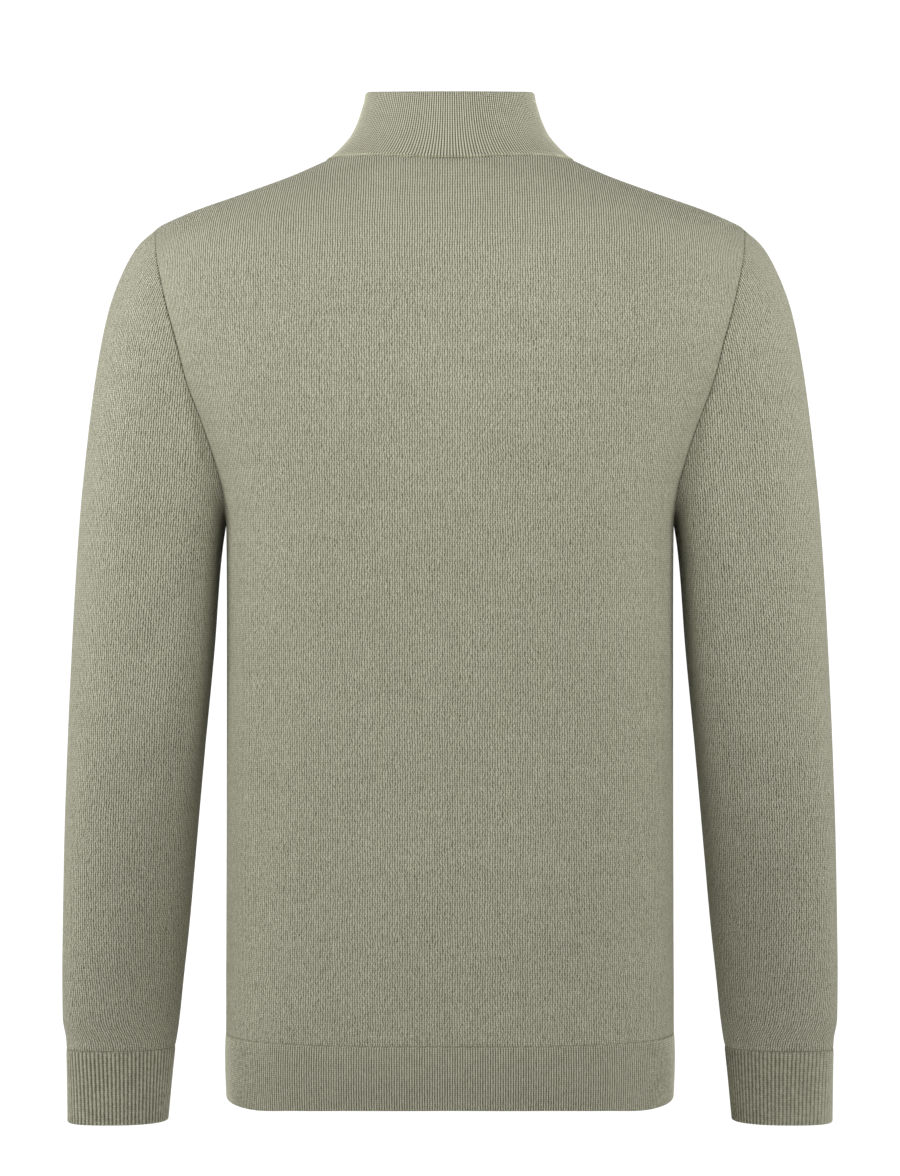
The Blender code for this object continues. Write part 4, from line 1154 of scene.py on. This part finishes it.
sleeve_right = mirrored(arm, "knit_sleeve_right")
wrist_right = mirrored(wrist, "rib_cuff_right")
cut = [
    (panels[BACK], "back", fine_knit, "fine_knit"),
    (panels[FRONT], "front", fine_knit, "fine_knit"),
    (arm, "sleeve_left", sleeve_knit, "fine_knit"),
    (sleeve_right, "sleeve_right", sleeve_knit, "fine_knit"),
    (hems[BACK], "hem_back", rib_knit, "rib_knit"),
    (hems[FRONT], "hem_front", rib_knit, "rib_knit"),
    (wrist, "cuff_left", cuff_knit, "rib_knit"),
    (wrist_right, "cuff_right", cuff_knit, "rib_knit"),
    (neck_rib, "collar", collar_knit, "rib_knit"),
]
for cloth, node, material, slot in cut:
    span = np.ptp(cloth.places.reshape(-1, 2), axis=0) * MM
    area = outer_area(cloth)
    wear(cloth, node, material, slot)
    print(cloth.name, "flat", (1000 * span).round(), "mm, area", round(area, 4), "m2")

# %% [markdown]
# ## Modelling small pieces
# The zip's hard pieces and the linking stitches are modelled with Blender's own operators, as by
# hand. A primitive is added with nothing else selected, its faces are chosen in edit mode by a
# test on their middle and normal, and a bevel modifier is applied. What repeats is modelled once,
# and `copies` lays its mesh along a seam or a row as one joined piece.

# %% Modelling helpers


def begin(kind, scale, **settings):
    """Adds a primitive, scaled to millimetres, with nothing else selected, and opens it for editing."""
    bpy.ops.object.select_all(action="DESELECT")
    getattr(bpy.ops.mesh, "primitive_" + kind + "_add")(**settings)
    obj = bpy.context.object
    obj.data.transform(Matrix.Diagonal((*(Vector(scale) * MM), 1)))
    bpy.ops.object.mode_set(mode="EDIT")
    bpy.ops.mesh.select_mode(type="FACE")
    return obj


def choose(obj, test):
    """Selects the faces whose middle, in millimetres, and normal pass a test."""
    bpy.ops.mesh.select_all(action="DESELECT")
    shape = bmesh.from_edit_mesh(obj.data)
    for face in shape.faces:
        face.select_set(bool(test(face.calc_center_median() / MM, face.normal)))
    bmesh.update_edit_mesh(obj.data)


def push(x=0.0, y=0.0, z=0.0, scale=(1, 1, 1)):
    """Extrudes what is selected by millimetres, and scales the new end."""
    bpy.ops.mesh.extrude_region_move(TRANSFORM_OT_translate={"value": (x * MM, y * MM, z * MM)})
    bpy.ops.transform.resize(value=scale)


def done(obj, name, bevel=0.0, segments=1):
    """Leaves edit mode and rounds the edges by an applied bevel."""
    bpy.ops.object.mode_set(mode="OBJECT")
    obj.name = name
    if bevel:
        rounding = obj.modifiers.new("rounding", "BEVEL")
        rounding.width = bevel * MM
        rounding.segments = segments
        rounding.limit_method = "ANGLE"
        bpy.ops.object.modifier_apply(modifier=rounding.name)
    return obj


def joined(parts, name):
    """Several shapes as one object."""
    bpy.ops.object.select_all(action="DESELECT")
    for part in parts:
        part.select_set(True)
    bpy.context.view_layer.objects.active = parts[0]
    bpy.ops.object.join()
    parts[0].name = name
    return parts[0]


def copies(name, model, places, across, inward, up):
    """One joined piece of copies of a model, whose own axes x, y and z turn to three directions."""
    shape = np.array([v.co[:] for v in model.data.vertices])
    frames = np.stack([across, inward, up], axis=-1)
    points = np.einsum("nij,vj->nvi", frames, shape) + places[:, None, :] * MM
    faces = []
    for k in range(len(places)):
        faces += [[k * len(shape) + i for i in polygon.vertices] for polygon in model.data.polygons]
    made = bpy.data.meshes.new(name)
    made.from_pydata(points.reshape(-1, 3).tolist(), [], faces)
    made.update()
    obj = bpy.data.objects.new(name, made)
    bpy.context.scene.collection.objects.link(obj)
    bpy.data.objects.remove(model)
    return obj


def finish_piece(obj, body, material, node=None):
    """Gives a piece its material, rides it on a body, and hides the CAD node it stands for, if one is given.
    """
    obj.data.materials.clear()
    obj.data.materials.append(material)
    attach(obj, body)
    if node:
        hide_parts(node)
    print(obj.name, sum(len(p.vertices) - 2 for p in obj.data.polygons), "triangles")
    return obj


print("modelling helpers ready")

# %% [markdown]
# ## Linked seams
# The collar, the hem band and the cuffs are linked on: a row of chain stitches joins the loops of
# both pieces. Each link is a slim bead of yarn that lies in the seam's groove, a little slanted,
# and the dark gaps between the beads read as the dotted line of a linked seam. The same bead,
# made longer, is the sewn stitch beside the zip.

# %% Links
LINK_PITCH = 2.3
CUFF_LINK_PITCH = 2.2
LINK_SLANT = 0.6
NECK_LINK_ROW = 3


def bead(length, radius):
    """A slim bead of yarn along z, with tapered ends."""
    obj = begin("cylinder", (2 * radius, 2 * radius, 0.6 * length), vertices=6, radius=0.5, depth=1)
    choose(obj, lambda at, normal: normal.z > 0.9)
    push(z=0.2 * length, scale=(0.45, 0.45, 1))
    choose(obj, lambda at, normal: normal.z < -0.9)
    push(z=-0.2 * length, scale=(0.45, 0.45, 1))
    return done(obj, "bead")


def spaced(points, normals, pitch, depth):
    """Places along a line at a pitch and a depth under the surface, with the way ahead and the way in."""
    lengths = np.concatenate([[0], np.cumsum(np.linalg.norm(np.diff(points, axis=0), axis=-1))])
    count = round(lengths[-1] / pitch)
    at = (np.arange(count) + 0.5) * lengths[-1] / count
    place = np.stack([np.interp(at, lengths, points[:, k]) for k in range(3)], axis=-1)
    out = np.stack([np.interp(at, lengths, normals[:, k]) for k in range(3)], axis=-1)
    out /= np.linalg.norm(out, axis=-1, keepdims=True)
    ahead = np.gradient(place, axis=0)
    ahead -= (ahead * out).sum(-1, keepdims=True) * out
    ahead /= np.linalg.norm(ahead, axis=-1, keepdims=True)
    return place - out * depth, ahead, -out


def stitch_row(name, points, normals, pitch, length, radius, depth, slant, material):
    """A row of beads along a line. The slant turns each bead out of the line."""
    place, ahead, inward = spaced(points, normals, pitch, depth)
    aside = np.cross(inward, ahead)
    along = ahead * math.cos(slant) + aside * math.sin(slant)
    obj = copies(name, bead(length, radius), place, np.cross(inward, along), inward, along)
    return finish_piece(obj, "garment", material)


def link_row(name, cloth, row, pitch, yarn, radius=0.36, depth=0.3):
    """The links along one row of a piece's grid."""
    shift = -cloth.points[row] + cloth.points[row + (1 if row == 0 else -1)]
    line = cloth.points[row] + 0.5 * shift / np.linalg.norm(shift, axis=-1, keepdims=True)
    out, length = cloth.normal[row], 0.95 * pitch
    return stitch_row(name, line, out, pitch, length, radius, depth, LINK_SLANT, yarn)


def flipped(line):
    """A line of points or directions on the wearer's right."""
    return line * np.array([-1, 1, 1])


# The linking yarn is painted lighter than the knit, a little on the hem, cuffs and zip stitches and much
# more at the neck: a painted highlight along the seam's ridge.
link_yarn = knit("link_yarn", 0.0004, 0.0004, 0.3, 0.0001, 0.0, 1.05)
neck_yarn_painted_highlight = knit("link_yarn_neck_painted_highlight", 0.0004, 0.0004, 0.3, 0.0001, 0.0, 1.7)
link_row("links_neck", neck_rib, NECK_LINK_ROW, LINK_PITCH, neck_yarn_painted_highlight, 0.7, 0.1)
link_row("links_hem_back", hems[BACK], -1, LINK_PITCH, link_yarn)
link_row("links_hem_front", hems[FRONT], -1, LINK_PITCH, link_yarn)
link_row("links_cuff_left", wrist, -1, CUFF_LINK_PITCH, link_yarn)
link_row("links_cuff_right", wrist_right, -1, CUFF_LINK_PITCH, link_yarn)

# %% [markdown]
# ## Zip tapes
# Two woven tapes lie behind the edges of the opening, up to the collar's top, and the teeth are
# moulded on to their inner edges. They follow the front's outside at the depth of the cloth's
# thickness. Their weave is a fine herringbone with a corded edge.

# %% Zip tapes
ZIP_BOTTOM_Z = -151.9
ZIP_LENGTH = 181.3
TAPE_HALF_WIDTH = 14.0
TAPE_THICKNESS = 0.9
TAPE_GAP = 0.35
TAPE_BELOW = 6.0
TAPE_SHORT = 1.2
TAPE_INNER_X = 0.25
TAPE_ROWS = 120

zip_z = np.linspace(ZIP_BOTTOM_Z, neck_point(ZIP_HALF_GAP, FRONT)[2], 60)
zip_rise = np.linspace(0, 1, 40)[1:]
zip_edge = np.concatenate(
    [
        body_point(ZIP_HALF_GAP, zip_z, FRONT),
        collar_points(np.array([ZIP_HALF_GAP]), FRONT, zip_rise)[:, 0],
    ]
)
zip_lengths = np.concatenate([[0], np.cumsum(np.linalg.norm(np.diff(zip_edge, axis=0), axis=-1))])
NECK_AT = float(zip_lengths[len(zip_z) - 1])
print("the opening is", round(float(zip_lengths[-1]), 1), "mm long; the neck seam is at", round(NECK_AT, 1))


def zip_points(distances, xs):
    """The front's outside at distances up the opening and at x from the middle."""
    rows = []
    wide = np.maximum(xs, ZIP_HALF_GAP)
    for at in distances:
        if at <= NECK_AT:
            z = ZIP_BOTTOM_Z + at if at < 0 else np.interp(at, zip_lengths[: len(zip_z)], zip_z)
            row = body_point(wide, z, FRONT)
        else:
            rise = np.interp(at, zip_lengths[len(zip_z) - 1 :], [0.0, *zip_rise])
            fine = collar_points(np.linspace(ZIP_HALF_GAP, 26, 22), FRONT, np.array([rise]))[0]
            row = np.stack([np.interp(wide, fine[:, 0], fine[:, k]) for k in range(3)], axis=-1)
        row[:, 0] = xs
        rows.append(row)
    return np.array(rows)


def zip_surface(distances, xs):
    """The same points with their outward normals, which turn smoothly past the neck seam."""
    distances = np.asarray(distances, float)
    points = zip_points(distances, xs)
    ahead = zip_points(distances + 3, xs) - zip_points(distances - 3, xs)
    normal = np.cross(np.gradient(points, axis=1), ahead)
    normal /= np.linalg.norm(normal, axis=-1, keepdims=True)
    return points, normal * -np.sign(normal[..., 1:2])


def cloth_under(distances):
    """The thickness of the cloth beside the zip: the front's, then the folded collar's."""
    share = np.clip((np.asarray(distances) - NECK_AT + 14) / 14, 0, 1)
    return CLOTH + (COLLAR_CLOTH - CLOTH) * share**2 * (3 - 2 * share)


def tape(name):
    """The left tape, with its long edges and ends rolled over."""
    distances = np.linspace(-TAPE_BELOW, ZIP_LENGTH - TAPE_SHORT, TAPE_ROWS)
    inner_steps, outer_steps = (0.5, 0.9, 1.5, 2.4, 3.5, 5.0), (6.6, 8.4, 10.2, 12.0, 13.2, 13.7)
    xs = np.array([TAPE_INNER_X, *inner_steps, *outer_steps, TAPE_HALF_WIDTH])
    points, normal = zip_surface(distances, xs)
    points = points - normal * (cloth_under(distances) + TAPE_GAP)[:, None, None]
    cloth = Cloth(name, points, points * np.array([0, 0, 1]), TAPE_THICKNESS, along_wales(upward, 0))
    for edge in ("bottom", "top", "first", "last"):
        cloth.free_edge(edge)
    return cloth


def woven(name):
    """A narrow woven tape: warp cords along it, crossed in a herringbone."""
    n = Nodes(name)
    place = n.add("ShaderNodeUVMap", uv_map="cloth").outputs["UV"]
    split = n.add("ShaderNodeSeparateXYZ", {"Vector": place})
    across = n.math("MULTIPLY", split.outputs["X"], 1 / 0.0006)
    zig = n.math("PINGPONG", n.math("MULTIPLY", split.outputs["X"], 1 / 0.0024), 1.0)
    along = n.math("MULTIPLY_ADD", split.outputs["Y"], 1 / 0.0008, n.math("MULTIPLY", zig, 2.4))
    cord = n.math("ABSOLUTE", n.math("SINE", n.math("MULTIPLY", across, math.pi)))
    weft = n.math("ABSOLUTE", n.math("SINE", n.math("MULTIPLY", along, math.pi)))
    height = n.math("MULTIPLY_ADD", weft, 0.6, n.math("MULTIPLY", cord, 0.4))
    # The weave's height also sets the colour: its hollows are painted darker and its cords lighter, a
    # painted shade and painted highlight.
    tone = n.math("MULTIPLY_ADD", n.noise(place, 700, 2), 0.35, n.math("MULTIPLY", height, 0.65))
    colour = n.ramp(tone, [(0.15, (0.105, 0.100, 0.066)), (0.85, (0.250, 0.243, 0.172))])
    return n.finish(colour, height, 0.00012, Roughness=0.85, Sheen_Weight=0.1)


zip_tape = woven("zip_tape")
tape_left = tape("zip_tape_left_woven")
tape_right = mirrored(tape_left, "zip_tape_right_woven")
for cloth, node in ((tape_left, "zip_tape_left"), (tape_right, "zip_tape_right")):
    wear(cloth, node, zip_tape, "zip_tape")

# %% [markdown]
# ## Teeth and stops
# The teeth are moulded plastic. A tooth is a block that grips the tape's edge, a narrower neck,
# and a head that widens again, so that the heads of one side lock behind those of the other. The
# right row is the left one turned round and moved up by half the pitch.

# %% Zip teeth
CHAIN_THICKNESS = 1.6
TOOTH_PITCH = 2.1
STOP_LENGTH = 2.5
BOTTOM_STOP_AT = 0.4
TOP_STOP_BELOW = 3.2
TEETH_FROM_STOP = 0.5
TOOTH_CLEAR = 0.7  # a little over half a tooth, at both ends of a row
SLIDER_LENGTH = 10.0
SLIDER_BELOW_TOP = 5.5


def zip_frames(distances):
    """Middle points of the chain, and its inward and upward directions, at distances up the opening."""
    points, normal = zip_surface(distances, np.array([0.0, 1.0]))
    depth = (cloth_under(distances) - CHAIN_THICKNESS / 2)[:, None]
    inward = -normal[:, 0]
    across = np.zeros_like(inward) + np.array([1.0, 0, 0])
    return points[:, 0] + inward * depth, across, inward, np.cross(across, inward)


def tooth():
    """A tooth of the left row, its block at +x and its head across the middle."""
    obj = begin("cube", (1.5, CHAIN_THICKNESS, 1.3), size=1)
    bpy.ops.transform.translate(value=(1.85 * MM, 0, 0))
    choose(obj, lambda at, normal: normal.x < -0.9)
    push(x=-0.55, scale=(1, 0.8, 0.5))
    push(x=-0.3, scale=(1, 1, 1.55))
    push(x=-0.85, scale=(1, 0.8, 0.85))
    choose(obj, lambda at, normal: normal.y < -0.9 and at.x > 1.1)
    bpy.ops.mesh.inset(thickness=0.32 * MM)
    bpy.ops.transform.translate(value=(0, 0.15 * MM, 0))
    return done(obj, "tooth", 0.12)


first_tooth = BOTTOM_STOP_AT + STOP_LENGTH + TEETH_FROM_STOP
last_tooth = ZIP_LENGTH - SLIDER_BELOW_TOP - SLIDER_LENGTH - TEETH_FROM_STOP
left_at = np.arange(first_tooth + TOOTH_CLEAR, last_tooth - TOOTH_CLEAR, TOOTH_PITCH)
right_at = left_at[:-1] + TOOTH_PITCH / 2
rows = []
for at, sign in ((left_at, 1), (right_at, -1)):
    place, across, inward, up = zip_frames(at)
    rows.append(copies("teeth", tooth(), place, sign * across, inward, sign * up))
print(len(left_at) + len(right_at), "teeth")


def stop(size, x):
    """A stop: a metal clamp pressed round the tape's edge, with a dent in its face."""
    obj = begin("cube", size, size=1)
    bpy.ops.transform.translate(value=(x * MM, 0, 0))
    choose(obj, lambda at, normal: normal.y < -0.9)
    bpy.ops.mesh.inset(thickness=0.45 * MM)
    bpy.ops.transform.translate(value=(0, 0.2 * MM, 0))
    return done(obj, "stop", 0.22, 2)


def hard_material(name, dark, light, roughness, metallic, relief):
    """Plastic or metal with a fine grain in its colour, its gloss and its surface."""
    n = Nodes(name)
    place = n.add("ShaderNodeTexCoord").outputs["Object"]
    grain = n.noise(place, 2600, 3, 0.6)
    cloud = n.noise(place, 240, 2)
    tone = n.math("MULTIPLY_ADD", grain, 0.5, n.math("MULTIPLY", cloud, 0.5))
    rough = n.math("MULTIPLY_ADD", grain, 0.25, roughness - 0.12)
    n.put(rough, n.shader.inputs["Roughness"])
    return n.finish(n.ramp(tone, [(0.3, dark), (0.7, light)]), grain, relief, Metallic=metallic)


zip_teeth = hard_material("zip_teeth", (0.135, 0.130, 0.092), (0.200, 0.193, 0.142), 0.42, 0.0, 0.00003)
zip_metal = hard_material("zip_metal", (0.22, 0.215, 0.19), (0.40, 0.39, 0.35), 0.36, 1.0, 0.00002)
finish_piece(joined(rows, "zip_teeth_moulded"), "garment", zip_teeth, "zip_chain")
for name, size, x, at, sign in (
    ("zip_bottom_stop", (6.8, CHAIN_THICKNESS, STOP_LENGTH), 0.0, BOTTOM_STOP_AT + STOP_LENGTH / 2, 1),
    ("zip_top_stop_left", (2.2, CHAIN_THICKNESS, 2.8), 1.5, ZIP_LENGTH - TOP_STOP_BELOW, 1),
    ("zip_top_stop_right", (2.2, CHAIN_THICKNESS, 2.8), 1.5, ZIP_LENGTH - TOP_STOP_BELOW, -1),
):
    place, across, inward, up = zip_frames(np.array([at]))
    clamp = copies(name + "_clamp", stop(size, x), place, sign * across, inward, sign * up)
    finish_piece(clamp, "garment", zip_metal, name)

# %% [markdown]
# ## Slider and pull tab
# The slider is a plate that narrows downwards over a thicker core, which holds the channels for
# the teeth. An arch, the bail, stands on the plate and holds the pull tab's pin. The tab itself is
# a flat plate with a panel pressed into it, a hole near its end, and two legs round the bail. It
# rides on its own body, so that it can swing up about the pin.

# %% Slider and pull
SLIDER_HALF_WIDTH = 4.2
SLIDER_PROUD = 0.6
PIN_HEIGHT = 1.6
PIN_RADIUS = 0.6
SLIDER_LEAN = math.radians(-18.35)
PULL_LEAN = math.radians(2.0)
PULL_HALF_WIDTH = 3.2
PULL_THICKNESS = 1.3
hinge = next(j for j in frame["joints"] if j["name"] == "pull_swing")
turned = Matrix.Translation(Vector(hinge["pos_m"])) @ Matrix.Rotation(SLIDER_LEAN, 4, "X")
slider_place = turned @ Matrix.Translation(Vector((0, SLIDER_PROUD + PIN_HEIGHT, 0)) * MM)


def plate(width, low, high):
    """The slider's outline between two depths: widest above its middle, and narrow at the bottom."""
    obj = begin("cube", (2 * width, high - low, 0.62 * SLIDER_LENGTH), size=1)
    bpy.ops.transform.translate(value=(0, (low + high) / 2 * MM, -0.19 * SLIDER_LENGTH * MM))
    choose(obj, lambda at, normal: normal.z < -0.9)
    bpy.ops.transform.resize(value=(0.62, 1, 1))
    choose(obj, lambda at, normal: normal.z > 0.9)
    push(z=0.38 * SLIDER_LENGTH, scale=(0.86, 1, 1))
    return obj


face_plate = plate(SLIDER_HALF_WIDTH, -SLIDER_PROUD, 0.5)
choose(face_plate, lambda at, normal: normal.y < -0.9)
bpy.ops.mesh.inset(thickness=0.55 * MM)
bpy.ops.transform.translate(value=(0, -0.18 * MM, 0))
face_plate = done(face_plate, "face_plate", 0.3, 2)
core = done(plate(SLIDER_HALF_WIDTH - 0.5, 0.4, COLLAR_CLOTH), "core", 0.3, 1)

bail = begin(
    "torus", (1, 1, 1), major_radius=1.4, minor_radius=0.45, major_segments=28, minor_segments=10
)
bpy.ops.object.mode_set(mode="OBJECT")
bail.data.transform(Matrix.Diagonal((2.0, 1, 1.5, 1)) @ Matrix.Rotation(math.pi / 2, 4, "Y"))
bpy.ops.object.mode_set(mode="EDIT")
bpy.ops.mesh.select_all(action="SELECT")
bpy.ops.mesh.bisect(plane_co=(0, 0, 0), plane_no=(0, 1, 0), use_fill=True, clear_outer=True)
choose(bail, lambda at, normal: normal.y > 0.9 and at.y > -0.01)
push(y=PIN_HEIGHT + 0.5, scale=(1.1, 1, 1.15))
bail = done(bail, "bail")
bail.data.transform(Matrix.Translation((0, -(SLIDER_PROUD + PIN_HEIGHT) * MM, 0)))
slider = joined([face_plate, core, bail], "zip_slider_cast")
slider.data.transform(slider_place)
finish_piece(slider, "garment", zip_metal, "zip_slider")

tab = begin("cube", (2 * PULL_HALF_WIDTH, PULL_THICKNESS, 1.0), size=1)
bpy.ops.transform.translate(value=(0, 0, -21.9 * MM))
choose(tab, lambda at, normal: normal.z < -0.9)
push(z=-1.6, scale=(0.55, 1, 1))
choose(tab, lambda at, normal: normal.z > 0.9)
push(z=3.9)
push(z=12.1)
push(z=2.0, scale=(0.73, 1, 1))
choose(tab, lambda at, normal: abs(normal.y) > 0.9 and -21 < at.z < -18)
bpy.ops.mesh.inset(thickness=1.0 * MM, use_individual=True)
bpy.ops.transform.resize(value=(0.6, 1, 1.6))
bpy.ops.mesh.bridge_edge_loops()
choose(tab, lambda at, normal: abs(normal.y) > 0.9 and -15 < at.z < -8)
bpy.ops.mesh.inset(thickness=0.9 * MM, use_individual=True)
bpy.ops.transform.resize(value=(1, 0.66, 1))
tab = done(tab, "tab", 0.18, 2)
parts = [tab]
for side in (-1, 1):
    leg = begin("cube", (1.1, PULL_THICKNESS, 4.0), size=1)
    bpy.ops.transform.translate(value=(side * 1.8 * MM, 0, -1.7 * MM))
    choose(leg, lambda at, normal: normal.z > 0.9)
    push(z=0.6, scale=(1, 0.55, 1))
    parts.append(done(leg, "leg", 0.16, 2))
pin = begin("cylinder", (2 * PIN_RADIUS, 2 * PIN_RADIUS, 3.9), vertices=16, radius=0.5, depth=1)
choose(pin, lambda at, normal: abs(normal.z) > 0.9)
bpy.ops.mesh.inset(thickness=0.2 * MM, use_individual=True)
pin = done(pin, "pin")
pin.data.transform(Matrix.Rotation(math.pi / 2, 4, "Y"))
tab = joined(parts + [pin], "zip_pull_tab")
tab.data.transform(turned @ Matrix.Rotation(-PULL_LEAN, 4, "X"))
finish_piece(tab, "pull", zip_metal, "zip_pull")

# %% [markdown]
# ## Stitches beside the zip
# A row of sewn stitches on either side holds the tapes to the front and the collar.

# %% Sewn stitches
STITCH_FROM_MIDDLE = 8.6
STITCH_PITCH = 2.6
STITCH_LENGTH = 1.9
sewn_at = np.linspace(1.0, ZIP_LENGTH - 3.0, 300)
sewn, sewn_out = zip_surface(sewn_at, np.array([STITCH_FROM_MIDDLE - 0.5, STITCH_FROM_MIDDLE]))
for name, turn in (("stitches_zip_left", lambda line: line), ("stitches_zip_right", flipped)):
    line, out = turn(sewn[:, 1]), turn(sewn_out[:, 1])
    stitch_row(name, line, out, STITCH_PITCH, STITCH_LENGTH, 0.25, 0.12, 0.0, link_yarn)
